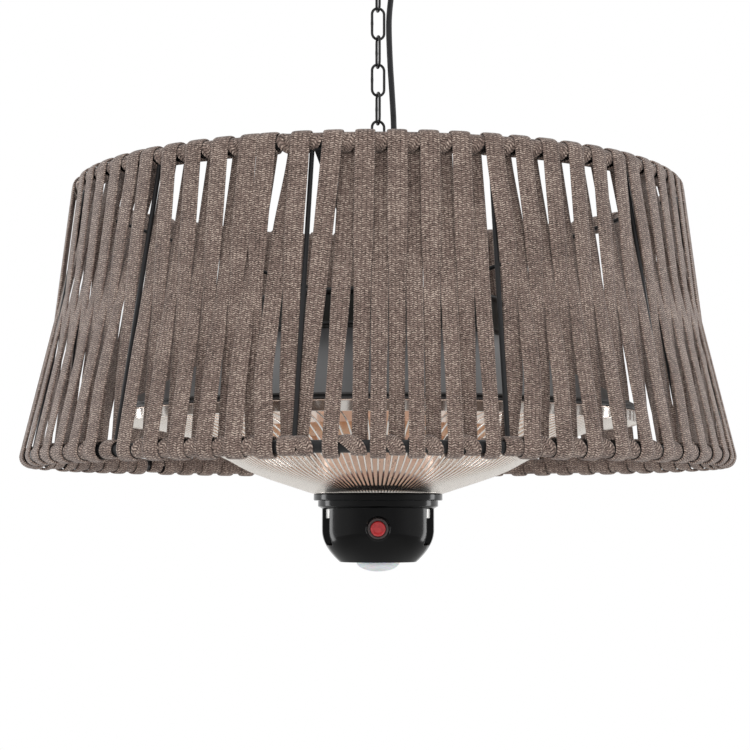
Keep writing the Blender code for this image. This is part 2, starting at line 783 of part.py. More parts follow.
def bay_turns(bay):
    """Every third bay, the front one among them, holds a turn less."""
    turns = most_turns()
    return max(1, turns - 1) if bay % SHORT_BAY_EVERY == 0 else turns


def winding(bay, parent):
    name = f"winding_{bay + 1:02d}"
    mesh = bpy.data.meshes.new(name)
    strip = bmesh.new()
    rows = [[strip.verts.new(point) for point in row] for row in winding_rows(bay, bay_turns(bay))]
    for (left, right), (next_left, next_right) in zip(rows, rows[1:]):
        strip.faces.new((left, right, next_right, next_left))
    strip.to_mesh(mesh)
    strip.free()
    strap = place(name, mesh, "strap", parent)
    shell = strap.modifiers.new("thickness", "SOLIDIFY")
    shell.thickness = STRAP_THICKNESS
    shell.offset = 0.0


def least_strap_gap():
    """The least distance between two runs of one winding, measured on points of both faces."""
    turns = most_turns()
    rows = winding_rows(1, turns)
    along = 60
    across = 4
    clouds = []
    for start, end in zip(rows, rows[1:]):
        if (end[0] - start[0]).length < FRAME_HEIGHT / 2:
            continue
        left = np.linspace(start[0], end[0], along)
        right = np.linspace(start[1], end[1], along)
        shares = np.linspace(0.0, 1.0, across)[:, None, None]
        middle = (1 - shares) * left + shares * right
        normal = np.cross(np.array(end[0] - start[0]), np.array(start[1] - start[0]))
        normal *= STRAP_THICKNESS / 2 / np.linalg.norm(normal)
        clouds.append(np.concatenate([middle + normal, middle - normal]).reshape(-1, 3))
    gaps = []
    for first, second in zip(clouds, clouds[1:]):
        apart = np.linalg.norm(first[:, None, :] - second[None, :, :], axis=2)
        gaps.append(apart.min())
    return min(gaps)


def cap(parent):
    lip = CAP_RADIUS + CAP_LIP
    shell = turned(
        "cap",
        [
            (EYE_THREAD_RADIUS + HOLE_CLEARANCE, cap_top),
            (CAP_RADIUS, cap_top),
            (CAP_RADIUS, cap_top - CAP_HEIGHT + CAP_LIP_HEIGHT),
            (lip, cap_top - CAP_HEIGHT + CAP_LIP_HEIGHT / 2),
            (lip, cap_top - CAP_HEIGHT),
        ],
        "cap_paint",
        steps=MIDDLE_STEPS,
        wall=SHEET,
        parent=parent,
    )
    seat = around(CAP_GLAND_RADIUS, CAP_GLAND_AZIMUTH, cap_top)
    reach = Vector((0.0, 0.0, OVERRUN))
    cable_hole = CABLE_DIAMETER / 2 + HOLE_CLEARANCE
    cut(shell, cylinder("cap_cable_hole", cable_hole, seat - reach, seat + reach, None))
    strain_relief("cap_gland", seat, 1, parent)


def terminal_block(parent):
    z = hood_top + SEAT_GAP + TERMINAL_HEIGHT / 2
    size = (TERMINAL_WIDTH, TERMINAL_LENGTH, TERMINAL_HEIGHT)
    block = box("terminal_block", size, (TERMINAL_X, 0.0, z), "terminal_white", parent=parent)
    top = hood_top + SEAT_GAP + TERMINAL_HEIGHT
    for way in range(TERMINAL_WAYS):
        y = TERMINAL_LENGTH * ((way + 0.5) / TERMINAL_WAYS - 0.5)
        start = (TERMINAL_X, y, top - TERMINAL_SCREW_DEPTH)
        end = (TERMINAL_X, y, top + OVERRUN)
        screw_well = cylinder(f"screw_well_{way + 1}", TERMINAL_SCREW_RADIUS, start, end, None, RING_SIDES)
        cut(block, screw_well)


def hood(parent):
    turned(
        "hood",
        [
            (HOOD_WIRE_HOLE, hood_top),
            (CAP_RADIUS + CAP_LIP + HOOD_TOP_MARGIN, hood_top),
            (HOOD_RIM_RADIUS, hood_rim_top),
            (HOOD_RIM_RADIUS, hood_rim_bottom),
        ],
        "grey_paint",
        wall=SHEET,
        parent=parent,
    )


def reflector(parent):
    lip_inner = HOOD_RIM_RADIUS - REFLECTOR_LIP
    turned(
        "reflector",
        [
            (COLUMN_RADIUS + SEAT_GAP, reflector_top),
            (REFLECTOR_FLAT_RADIUS, reflector_top),
            (lip_inner, reflector_lip_top),
            (HOOD_RIM_RADIUS, reflector_lip_top),
        ],
        "polished",
        steps=MIDDLE_STEPS,
        wall=REFLECTOR_SHEET,
        parent=parent,
    )
    turned(
        "column",
        [(COLUMN_RADIUS, column_top), (COLUMN_RADIUS, column_bottom)],
        "polished",
        steps=MIDDLE_STEPS,
        wall=SHEET,
        parent=parent,
    )


def heating_tube(parent):
    """A ring-shaped tube, open at the back, whose straight ends each stop at a ceramic block."""
    half_sweep = 180.0 - TUBE_OPENING / 2
    steps = TUBE_POINTS - 1
    arc = [
        around(TUBE_RING_RADIUS, half_sweep * (2 * step / steps - 1), tube_z) for step in range(TUBE_POINTS)
    ]
    ends = {}
    post_top = reflector_flat_bottom - SEAT_GAP
    for name, side in (("left", -1), ("right", 1)):
        onward = around(side, side * half_sweep + 90.0, 0.0)
        bend = around(TUBE_RING_RADIUS, side * half_sweep, tube_z)
        ends[name] = bend + TUBE_DIAMETER * onward
        centre = ends[name] + (SEAT_GAP + CERAMIC_LENGTH / 2) * onward
        size = (CERAMIC_LENGTH, CERAMIC_WIDTH, CERAMIC_HEIGHT)
        block = box(f"tube_end_{name}", size, centre, "ceramic", azimuth=side * half_sweep, parent=parent)
        top = Vector((centre.x, centre.y, post_top))
        join(block, cylinder(f"tube_end_post_{name}", POST_RADIUS, centre, top, None, steps=RING_SIDES))
    route = [ends["left"], *arc, ends["right"]]
    tube("heating_tube", route, TUBE_DIAMETER, "amber_glass", parent=parent)
    loop_radius = corner_radius(TUBE_DIAMETER / 2 + SEAT_GAP + CLIP_WIRE / 2, 2 * math.pi / CLIP_STEPS)
    for name, azimuth in (("left", -CLIP_AZIMUTH), ("right", CLIP_AZIMUTH)):
        loop = []
        for step in range(CLIP_STEPS):
            turn = math.radians(360.0 * step / CLIP_STEPS)
            radius = TUBE_RING_RADIUS + loop_radius * math.cos(turn)
            loop.append(around(radius, azimuth, tube_z + loop_radius * math.sin(turn)))
        clip = tube(f"tube_clip_{name}", loop, CLIP_WIRE, "steel", cyclic=True, resolution=1, parent=parent)
        foot = around(TUBE_RING_RADIUS, azimuth, tube_z + loop_radius)
        top = around(TUBE_RING_RADIUS, azimuth, post_top)
        join(clip, cylinder(f"tube_clip_stem_{name}", CLIP_WIRE / 2, foot, top, None, steps=RING_SIDES))


def grille(parent):
    """A hub ring and a rim joined by radial bars, cut from one dished sheet.

    The bars keep their width from hub to rim, so the two edges of a bar are a set distance from its
    middle line at each radius, and the rings' corners follow them.
    """
    shoulder_z = grille_rim_bottom - GRILLE_DEPTH * GRILLE_SHOULDER_DEPTH_SHARE
    middle_z = grille_rim_bottom - GRILLE_DEPTH * GRILLE_MIDDLE_DEPTH_SHARE
    stations = [
        (GRILLE_HUB_INNER, grille_hub_z),
        (GRILLE_HUB_OUTER, grille_hub_z),
        (GRILLE_MIDDLE_RADIUS, middle_z),
        (GRILLE_SHOULDER_RADIUS, shoulder_z),
        (GRILLE_RIM_RADIUS, grille_rim_bottom),
        (GRILLE_RIM_RADIUS, grille_rim_top),
    ]
    first_bar_station = 1
    last_bar_station = 4
    mesh = bpy.data.meshes.new("grille")
    sheet = bmesh.new()
    rows = []
    for radius, z in stations:
        row = []
        for bar in range(GRILLE_BARS):
            middle = 360.0 * bar / GRILLE_BARS
            half = math.degrees(math.asin(GRILLE_BAR_WIDTH / 2 / radius))
            row.append(sheet.verts.new(around(radius, middle - half, z)))
            row.append(sheet.verts.new(around(radius, middle + half, z)))
        rows.append(row)
    for station, (inner, outer) in enumerate(zip(rows, rows[1:])):
        in_bars = first_bar_station <= station < last_bar_station
        for column in range(0, 2 * GRILLE_BARS, 2 if in_bars else 1):
            after = (column + 1) % (2 * GRILLE_BARS)
            sheet.faces.new((inner[column], outer[column], outer[after], inner[after]))
    sheet.to_mesh(mesh)
    sheet.free()
    net = place("grille", mesh, "polished", parent)
    shell = net.modifiers.new("thickness", "SOLIDIFY")
    shell.thickness = GRILLE_SHEET
    shell.offset = 0.0


def box_outline():
    """The control box's outer line: a collar, a shoulder, a straight wall and a parabola to the base."""
    outline = [
        (BOX_COLLAR_RADIUS, box_top),
        (BOX_COLLAR_RADIUS, box_shoulder_top),
        (BOX_RADIUS, box_shoulder_bottom),
    ]
    for step in range(BOX_CURVE_STEPS + 1):
        part = step / BOX_CURVE_STEPS
        radius = BOX_BASE_RADIUS + (BOX_RADIUS - BOX_BASE_RADIUS) * (1 - part**2)
        outline.append((radius, box_curve_top - part * BOX_CURVE_HEIGHT))
    outline.append((lens_hole_radius, box_bottom))
    return outline


def control_box(parent):
    washer(
        "control_flange",
        FLANGE_RADIUS,
        FLANGE_HOLE_RADIUS,
        flange_top,
        flange_bottom,
        "gloss_black",
        steps=MIDDLE_STEPS,
        parent=parent,
    )
    shell = turned(
        "control_box", box_outline(), "gloss_black", steps=MIDDLE_STEPS, wall=BOX_WALL, parent=parent
    )
    slot_top = box_shoulder_bottom - SLOT_BELOW_SHOULDER
    slot_z = slot_top - SLOT_HEIGHT / 2
    clip_inner_wall = BOX_RADIUS - BOX_WALL - SEAT_GAP
    clip_radius = math.sqrt(clip_inner_wall**2 - (SIDE_CLIP_WIDTH / 2) ** 2) - SIDE_CLIP_THICKNESS / 2
    for name, azimuth in (("left", -SLOT_AZIMUTH), ("right", SLOT_AZIMUTH)):
        slot_size = (SLOT_WIDTH, BOX_RADIUS, SLOT_HEIGHT)
        slot = box(f"side_slot_{name}", slot_size, around(BOX_RADIUS, azimuth, slot_z), None, azimuth=azimuth)
        cut(shell, slot)
        clip_size = (SIDE_CLIP_WIDTH, SIDE_CLIP_THICKNESS, SIDE_CLIP_LENGTH)
        clip_centre = around(clip_radius, azimuth, box_top - SIDE_CLIP_LENGTH / 2)
        box(f"side_clip_{name}", clip_size, clip_centre, "steel", azimuth=azimuth, parent=parent)
    barrel = BUTTON_RADIUS + BUTTON_CLEARANCE + BEZEL_WALL
    hole_back = (0.0, -BOX_RADIUS / 2, button_z)
    hole_front = (0.0, -BOX_RADIUS - OVERRUN, button_z)
    cut(shell, cylinder("button_hole", barrel + HOLE_CLEARANCE, hole_back, hole_front, None))


def bezel(parent):
    """The button's ring. Its back follows the round wall, and its barrel passes through the wall."""

    def along_y(name, radius, back, front, finish, parent=None):
        return cylinder(name, radius, (0.0, back, button_z), (0.0, front, button_z), finish, parent=parent)

    front = -(BOX_RADIUS + BEZEL_PROUD)
    back = -(math.sqrt(BOX_RADIUS**2 - BEZEL_RADIUS**2) - BEZEL_WALL)
    ring = along_y("button_bezel", BEZEL_RADIUS, back, front, "gloss_black", parent)
    wall_top = (0.0, 0.0, button_z + BEZEL_RADIUS + OVERRUN)
    wall_bottom = (0.0, 0.0, button_z - BEZEL_RADIUS - OVERRUN)
    cut(ring, cylinder("bezel_wall", BOX_RADIUS + SEAT_GAP, wall_bottom, wall_top, None, 2 * ROUND_STEPS))
    bore = BUTTON_RADIUS + BUTTON_CLEARANCE
    barrel_back = front + BEZEL_BARREL_LENGTH
    join(ring, along_y("bezel_barrel", bore + BEZEL_WALL, barrel_back, front + BEZEL_PROUD / 2, None))
    cut(ring, along_y("bezel_bore", bore, barrel_back + OVERRUN, front - OVERRUN, None))
    return barrel_back


def push_button(bezel_back, parent):
    """The button with the collar that keeps it in. Its axis is its parent empty's Y axis."""
    collar_front = bezel_back + SEAT_GAP
    collar_back = collar_front + BUTTON_COLLAR_THICKNESS
    turn_to_y = Matrix.Rotation(math.radians(90.0), 4, "X")
    outline = [
        (0.0, -button_front),
        (BUTTON_RADIUS - BUTTON_PROUD / 2, -button_front),
        (BUTTON_RADIUS, -button_front - BUTTON_PROUD / 2),
        (BUTTON_RADIUS, -collar_front),
        (BUTTON_COLLAR_RADIUS, -collar_front),
        (BUTTON_COLLAR_RADIUS, -collar_back),
        (0.0, -collar_back),
    ]
    button = turned("push_button", outline, "red_button", steps=SMALL_STEPS)
    button.data.transform(Matrix.Translation((0.0, 0.0, button_z)) @ turn_to_y)
    button.parent = parent
    button.matrix_parent_inverse = parent.matrix_world.inverted()
    return collar_back


def boards(button_back, parent):
    """The board with the button's switch, hung on the flange, and the lamp's board on the box's floor."""
    switch_front = button_back + BUTTON_TRAVEL + SEAT_GAP
    board_y = switch_front + SWITCH_DEPTH + BOARD_THICKNESS / 2
    size = (BOARD_WIDTH, BOARD_THICKNESS, BOARD_HEIGHT)
    board_centre = (0.0, board_y, box_top - BOARD_HEIGHT / 2)
    board = box("circuit_board", size, board_centre, "board_green", parent=parent)
    switch_size = (SWITCH_WIDTH, SWITCH_DEPTH + BOARD_THICKNESS / 2, SWITCH_WIDTH)
    switch_y = switch_front + switch_size[1] / 2
    join(board, box("switch_body", switch_size, (0.0, switch_y, button_z), None))
    floor = box_bottom + BOX_WALL + SEAT_GAP
    lamp = turned(
        "lamp_board",
        [
            (0.0, floor + BOARD_THICKNESS),
            (LAMP_BOARD_RADIUS, floor + BOARD_THICKNESS),
            (LAMP_BOARD_RADIUS, floor),
            (0.0, floor),
        ],
        "board_green",
        steps=MIDDLE_STEPS,
        parent=parent,
    )
    chip_size = (LAMP_CHIP_WIDTH, LAMP_CHIP_WIDTH, LAMP_CHIP_HEIGHT + BOARD_THICKNESS / 2)
    chip_z = floor - LAMP_CHIP_HEIGHT + chip_size[2] / 2
    join(lamp, box("lamp_chip", chip_size, (0.0, 0.0, chip_z), None))
    rim_top = floor - SEAT_GAP
    outline = [(LENS_RADIUS, rim_top), (LENS_RADIUS, box_bottom)]
    for step in range(1, LENS_STEPS + 1):
        turn = math.radians(90.0 * step / LENS_STEPS)
        radius = LENS_RADIUS * math.cos(turn) if step < LENS_STEPS else 0.0
        outline.append((radius, box_bottom - LENS_DEPTH * math.sin(turn)))
    turned("lamp_lens", outline, "white_lens", steps=LENS_SIDES, wall=LENS_WALL, parent=parent)


def joint_empty(name, place_at, parent=None):
    """An empty on a joint's axis, which carries what the joint moves."""
    empty = bpy.data.objects.new(name, None)
    heater_parts.objects.link(empty)
    empty.location = place_at
    if parent:
        empty.parent = parent
        empty.matrix_parent_inverse = parent.matrix_world.inverted()
    bpy.context.view_layer.update()
    return empty


def build():
    chain_pivot = joint_empty("chain_pivot", (0.0, 0.0, hook_wire_z))
    heater_pivot = joint_empty("heater_pivot", (0.0, 0.0, eye_wire_z), chain_pivot)
    button_slide = joint_empty("button_slide", (0.0, button_front, button_z), heater_pivot)
    ceiling_plate()
    strain_relief("ceiling_gland", (CEILING_GLAND_X, CEILING_GLAND_Y, -PLATE_THICKNESS), -1)
    ceiling_hook()
    chain(chain_pivot)
    mains_cable(chain_pivot)
    eyebolt(heater_pivot)
    hub(heater_pivot)
    spokes(heater_pivot)
    shade_frame(heater_pivot)
    for bay in range(STRUT_COUNT):
        winding(bay, heater_pivot)
    cap(heater_pivot)
    terminal_block(heater_pivot)
    hood(heater_pivot)
    reflector(heater_pivot)
    heating_tube(heater_pivot)
    grille(heater_pivot)
    control_box(heater_pivot)
    bezel_back = bezel(heater_pivot)
    button_back = push_button(bezel_back, button_slide)
    boards(button_back, heater_pivot)
    print(f"least gap between two runs of a winding: {1000 * least_strap_gap():.2f} mm")


for old in list(bpy.data.objects):
    bpy.data.objects.remove(old)
heater_parts = bpy.data.collections.new("hanging_patio_heater")
cutters = bpy.data.collections.new("cutters")
bpy.context.scene.collection.children.link(heater_parts)
bpy.context.scene.collection.children.link(cutters)
build()
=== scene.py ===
"""Fine surfaces, finishes, cable, camera and lights of a hanging patio heater with a strap-wound shade.

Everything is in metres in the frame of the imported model: X to the right, Y to the back, Z up, and the
ceiling at nought. An azimuth is in degrees from the front (-Y) towards +X.
"""

import math

import bmesh
import bpy
import numpy as np
from bpy.props import FloatProperty, FloatVectorProperty, IntProperty, PointerProperty
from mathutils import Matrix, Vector


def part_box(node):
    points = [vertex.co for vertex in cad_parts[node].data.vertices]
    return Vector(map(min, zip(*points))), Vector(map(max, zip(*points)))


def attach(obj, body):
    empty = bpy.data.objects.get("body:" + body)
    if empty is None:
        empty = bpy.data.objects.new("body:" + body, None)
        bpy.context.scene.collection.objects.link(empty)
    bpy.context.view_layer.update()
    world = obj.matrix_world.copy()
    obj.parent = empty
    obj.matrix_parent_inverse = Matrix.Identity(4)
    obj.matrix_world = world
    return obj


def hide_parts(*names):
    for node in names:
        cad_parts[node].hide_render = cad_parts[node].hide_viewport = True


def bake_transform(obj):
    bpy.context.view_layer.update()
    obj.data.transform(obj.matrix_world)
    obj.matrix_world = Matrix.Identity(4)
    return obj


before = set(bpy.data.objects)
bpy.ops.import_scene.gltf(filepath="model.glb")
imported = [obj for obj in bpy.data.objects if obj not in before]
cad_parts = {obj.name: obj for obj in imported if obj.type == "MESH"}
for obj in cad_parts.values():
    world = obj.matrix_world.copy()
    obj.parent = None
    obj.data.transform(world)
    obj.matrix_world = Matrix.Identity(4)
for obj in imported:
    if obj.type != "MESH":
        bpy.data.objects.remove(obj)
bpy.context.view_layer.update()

bl_info = {
    "name": "Hanging patio heater",
    "version": (1, 0, 0),
    "blender": (4, 5, 0),
    "location": "View3D > Sidebar > Patio Heater",
    "description": "Dresses a strap-wound hanging patio heater piece by piece",
    "category": "Object",
}

# Clearances and roundings that several pieces share, and the bends past which an edge shades sharp
SEAT_GAP = 0.0003
SHEET = 0.0012
EDGE = 0.0006
FINE_EDGE = 0.0003
MERGE_DISTANCE = 1e-6
SHORT_SIDE_SHARE = 0.45
SHARP_ANGLE = 35.0
STRAP_SHARP_ANGLE = 60.0
WIRE_SHARP_ANGLE = 70.0
BOX_SHARP_ANGLE = 30.0
BEZEL_SHARP_ANGLE = 40.0

# Stage. Each softbox has its name, azimuth, distance from the lamps' aim, rise above it and size. The
# world in front fades in between two values of the direction's Y
CAMERA_SHIFT = -0.0041
SENSOR_WIDTH = 36.0
FLOOR_Z = -2.0
FLOOR_SIZE = 9.0
FLOOR_LINES = 13
FRONT_FADE = (-0.85, -0.45)
LAMPS_AIM = (0.0, 0.0, -0.45)
SOFTBOXES = (
    ("front_softbox", 0.0, 2.6, 0.5, (2.6, 1.8)),
    ("left_softbox", -112.0, 1.5, 0.0, (0.35, 1.5)),
    ("right_softbox", 112.0, 1.5, 0.0, (0.35, 1.5)),
)

# Shade frame
TOP_RING_RADIUS = 0.2739
BOTTOM_RING_RADIUS = 0.3174
RING_TUBE = 0.010
STRUT_COUNT = 12
STRUT_DIAMETER = 0.004
FIRST_STRUT_AZIMUTH = -11.3
STRUT_LEAN = 0.72
top_ring_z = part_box("shade_frame")[1].z - RING_TUBE / 2
bottom_ring_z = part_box("shade_frame")[0].z + RING_TUBE / 2

# Strap windings: the bays and the grid of a strap
BAY_ANGLE = 360.0 / STRUT_COUNT
BAY_START = -11.0
SHORT_BAYS = (0, 3, 6, 9)
MIRRORED_BAYS = (7, 8, 10, 11)
SHORT_BAY_TURNS = 5
FULL_BAY_TURNS = 6
WRAP_STEPS = 44
RUN_STEPS = 26
STRAP_STEPS = 18
STRAP_SIDE_POWER = 0.5
STRAP_FACE_POWER = 0.85
PATTERN_SHIFT = 7.0

# How a bay's runs are laid out: how far all of them stand aside at the top and at the bottom, what the
# last ones have beside that, and how far a strut pushes them at mid-height. RUNS counts the runs over
# which a shift fades, a SHARE is part of a push or of a run, and the rest are degrees of azimuth
SHORT_TOP_LEAN = 0.45
SHORT_BOTTOM_LEAN = -0.08
FULL_TOP_LEAN = -0.5
FULL_BOTTOM_LEAN = -1.35
LAST_RUN_PULL = {"short": (0.0, -3.3), "full": (0.0, 0.0), "mirrored": (1.5, 1.6)}
NEXT_RUN_PULL = -1.2
WIDE_GAP = 2.0
MIRRORED_SHIFT = 2.2
SHIFT_RUNS = 8
STRUT_PUSH = 1.35
MIRRORED_PUSH = 1.2
PUSH_RUNS = 5
LAST_SHARE = 0.42
PUSH_TOP_SHARE = 0.35
PUSH_BOTTOM_SHARE = 0.25

# How the strap goes round a ring: its two layers' distances from the ring's middle line, the angles
# round the tube at which it rises to the second layer, steps aside and bulges, and the bulges in degrees
# of azimuth. The first wrap starts, and the last one ends, at a share of its steps
FIRST_LAYER = 0.00615
SECOND_LAYER = 0.0084
LAYER_START = -30.0
LAYER_SPAN = 120.0
SHIFT_START = 40.0
SHIFT_SPAN = 200.0
LAST_BULGE = 1.5
END_BULGE = 1.3
BULGE_MIDDLE = 20.0
BULGE_REACH = 70.0
START_SHARE = 0.55
END_SHARE = 0.68

# How a strap's width changes along a run: pinched by its neighbours at mid-height, spread at the top ring,
# and drawn in at the bottom of the front bay
EDGE_GAP = 0.00015
LEAST_WIDTH = 0.8
PINCH_LEVEL = 1.6
PINCH_REACH = 0.024
TOP_SPREAD = 0.06
SPREAD_REACH = 0.07
FRONT_NARROWING = 0.18

# The strap's tail over the front strut's head
COVER_STEPS = 30
COVER_START = 170.0
COVER_END = -160.0
COVER_MIDDLE = 90.0
COVER_SPAN = 230.0
COVER_AZIMUTH = -10.0
COVER_SHIFT = 2.4

# Weave: a rib's slope, the seam between two columns of ribs, the yarns in a column and in a rib, what
# fibres, yarns, drift and ribs add to the colour, and how light a rib's foot is and how much more its
# crest.
# What the ribs add, and the foot's and the crest's lightness, are painted shade and light in the weave's
# grooves
RIB_SLANT = 0.35
SEAM_SHARE = 0.16
YARNS_IN_COLUMN = 2.5
YARNS_IN_RIB = 2.0
FIBRE_SHARE = 0.55
YARN_SHARE = 0.34
DRIFT_SHARE = 0.25
RIB_PAINTED_LIGHT_SHARE = 0.12
FLECK_PLACES = (0.4, 0.58, 0.67, 0.86)
FOOT_PAINTED_LIGHT = 0.5
CREST_PAINTED_LIGHT = 0.8

# Spokes
SPOKE_AZIMUTH = -9.682
SPOKE_COUNT = 4
SPOKE_WIDTH = 0.008
SPOKE_THICKNESS = 0.003
SPOKE_FOOT_RADIUS = 0.009
SPOKE_BEND_RADIUS = 0.031
SPOKE_END_RADIUS = 0.2781
SPOKE_END_Z = -0.2546
SPOKE_BEND = 0.012
SPOKE_ROUNDING = EDGE * 1.5

# Chain, hook and eye
LINK_WIRE = 0.0025
LINK_HALF_WIDTH = 0.00585
LINK_HALF_RUN = 0.00905
LINK_COUNT = 10
LINK_PITCH = 0.0270
FIRST_LINK_Z = -0.05485
CHAIN_TURN = 14.0
WELD_SIDE = 0.9
WELD_SWELL = 0.14
WELD_REACH = 0.0016
HOOK_WIRE = 0.005
HOOK_RADIUS = 0.009
HOOK_CENTRE_Z = -0.035
HOOK_ARC = 300.0
HOOK_FLANGE_RADIUS = 0.008
EYE_RADIUS = 0.0085
EYE_CENTRE_Z = -0.3172
EYE_COLLAR_RADIUS = 0.007
EYE_COLLAR_TOP = -0.3351
EYE_COLLAR_BOTTOM = -0.3381
THREAD_RADIUS = 0.003
STEM_RADIUS = 0.00275

# Mains cable: the route's points, from the ceiling gland to the cap's gland
CAP_GLAND_RADIUS = 0.038
CAP_GLAND_AZIMUTH = 125.0
UPPER_ROUTE = [
    (0.0140, 0.0160, -0.0283),
    (0.0139, 0.0154, -0.0400),
    (0.0118, 0.0098, -0.0580),
    (0.0104, 0.0036, -0.0760),
    (0.0104, 0.0012, -0.0940),
    (0.0114, 0.0006, -0.1200),
    (0.0130, 0.0005, -0.1460),
    (0.0144, 0.0005, -0.1700),
]
LOWER_ROUTE = [
    (0.0144, 0.0005, -0.1703),
    (0.0154, 0.0008, -0.1960),
    (0.0178, 0.0034, -0.2260),
    (0.0214, 0.0086, -0.2540),
    (0.0260, 0.0150, -0.2800),
    (0.0296, 0.0200, -0.3020),
]
CABLE_END_Z = -0.3207
CABLE_RADIUS = 0.00275
CABLE_STEPS = 8
UPPER_BEND_END_Z = -0.165
LOWER_BEND_START_Z = -0.176
LOWER_BEND_END_Z = -0.312

# Ceiling fitting
SCREW_RECESS_RADIUS = 0.0016
SCREW_RECESS_DEPTH = 0.0012
SCREW_SHANK_RADIUS = 0.002
SCREW_HEAD_HEIGHT = 0.0024
SCREW_FACE_SHARE = 0.75
SCREW_RECESS_TAPER = 0.8
HOOK_FLANGE_TOP = -0.0043
HOOK_FLANGE_THICKNESS = 0.003
HOOK_TIP_ARC = 12.0
HOOK_TIP_LEAST = 0.06
CEILING_GLAND_PLACE = (0.014, 0.016)

# Glands
GLAND_LENGTH = 0.024
GLAND_FOOT_RADIUS = 0.0065
GLAND_FOOT_HEIGHT = 0.005
GLAND_NECK_RADIUS = 0.0053
GLAND_TIP_RADIUS = 0.00395
GLAND_RIB_DEPTH = 0.0005
GLAND_RIBS = 7
GLAND_RIB_STEPS = 8
GLAND_RIB_FADE = 0.5

# Cap, hood and reflector
CAP_RADIUS = 0.115
CAP_LIP = 0.0015
CAP_LIP_HEIGHT = 0.004
CAP_BEAD_WIDTH = 0.0027
CAP_BEAD_HEIGHT = 0.0032
CAP_TOP_BEAD_INSET = 0.0013
CAP_BOTTOM_BEAD_INSET = 0.0012
HOOD_HOLE_RADIUS = 0.012
HOOD_TOP_RADIUS = 0.118
HOOD_RIM_RADIUS = 0.2405
HOOD_BEAD_RADIUS = 0.0025
REFLECTOR_SHEET = 0.0008
REFLECTOR_FLAT_RADIUS = 0.128
REFLECTOR_LIP = 0.006
REFLECTOR_ROUNDING = 0.0004
COLUMN_RADIUS = 0.057
COLUMN_FOOT = 0.0045

# Heating tube
TUBE_RING_RADIUS = 0.118
TUBE_RADIUS = 0.006
TUBE_WALL = 0.0011
TUBE_SWEEP = 160.0
TUBE_END_RUN = 0.012
COIL_RADIUS = 0.0030
COIL_WIRE_RADIUS = 0.00032
COIL_TURNS = 250
COIL_TURN_STEPS = 10
CERAMIC_SIZE = (0.020, 0.018, 0.022)
CERAMIC_ROUNDING = 0.0015
POST_RADIUS = 0.004
CLIP_WIRE = 0.0024
CLIP_AZIMUTH = 65.0

# Grille: the wires' line from the hub to the rim
GRILLE_WIRE = 0.0020
GRILLE_OUTLINE = [
    (0.0600, -0.5236),
    (0.1133, -0.5056),
    (0.1435, -0.4903),
    (0.1930, -0.4675),
    (0.2386, -0.4590),
]
GRILLE_STEPS = 5
GRILLE_RIM_RADIUS = 0.2395
GRILLE_RIM_THICKNESS = 0.0016
HUB_INNER_RADIUS = 0.0500
HUB_OUTER_RADIUS = 0.0618
HUB_THICKNESS = 0.0020

# Control box
FLANGE_RADIUS = 0.0596
FLANGE_HOLE_RADIUS = 0.012
FLANGE_ROUNDING = 0.0012
BOX_WALL = 0.002
BOX_COLLAR_RADIUS = 0.0556
BOX_RADIUS = 0.0519
BOX_BASE_RADIUS = 0.0352
BOX_SHOULDER_TOP = -0.5360
BOX_SHOULDER_BOTTOM = -0.5380
BOX_CURVE_TOP = -0.5577
BOX_BASE_BEND = 0.003
BOX_ROWS = 26
WALL_ROWS = 14
BOX_STEPS = 128
LENS_HOLE_RADIUS = 0.0203
POCKET_AZIMUTH = 69.0
POCKET_WIDTH = 0.016
POCKET_TOP = -0.5390
POCKET_BOTTOM = -0.5710
POCKET_FLOOR_RADIUS = 0.0455
POCKET_EDGE = 0.0012
POCKET_EDGE_REACH = 1.2
POCKET_EDGE_STEPS = 9
SIDE_CLIP_SIZE = (0.009, 0.0010, 0.016)
SIDE_CLIP_RADIUS = 0.0489

# Push button. The three outlines give radii and distances behind a front
BUTTON_Z = -0.5565
BUTTON_RADIUS = 0.0068
BUTTON_HOLE_REACH = (-0.035, -0.06)
BUTTON_FRONT = -0.0556
BUTTON_COLLAR_RADIUS = 0.0082
BEZEL_RADIUS = 0.0113
BEZEL_FRONT = -0.0542
BEZEL_BORE = 0.0072
BEZEL_BARREL = 0.0087
BEZEL_BACK = -0.0462
BEZEL_CLEARANCE = 0.0004
BEZEL_FACE = (
    (BEZEL_BORE, 0.0012),
    (BEZEL_BORE + 0.0004, 0.0008),
    (0.0090, 0.0005),
    (0.0094, 0.0),
    (0.0099, 0.0),
    (0.0104, 0.0004),
    (BEZEL_RADIUS - 0.0003, 0.0009),
    (BEZEL_RADIUS, 0.0014),
    (BEZEL_RADIUS, 0.0030),
    (BEZEL_BARREL, 0.0030),
)
INLAY_FACE = (
    (BEZEL_BORE, 0.0011),
    (BEZEL_BORE + 0.0002, 0.0002),
    (0.0086, -0.0001),
    (0.0093, 0.0001),
    (0.0093, 0.0011),
)
BUTTON_FACE = ((0.0, 0.0005), (0.0035, 0.0004), (0.0052, 0.0), (0.0061, 0.0), (BUTTON_RADIUS, 0.0008))

# Lens
LENS_RADIUS = 0.020
LENS_DEPTH = 0.0088
LENS_WALL = 0.0015


def around(radius, azimuth, z):
    """Points at a radius, an azimuth and a height, any of which may be arrays."""
    turn = np.radians(azimuth)
    return np.stack(np.broadcast_arrays(radius * np.sin(turn), -radius * np.cos(turn), z), axis=-1)


def sideways(azimuth):
    """The way round the axis at an azimuth, one metre long."""
    return around(1.0, azimuth + 90.0, 0.0)


def level(share):
    """From nought to one with level ends: 3s² - 2s³, with s held between nought and one."""
    held = np.clip(share, 0.0, 1.0)
    return held * held * (3.0 - 2.0 * held)


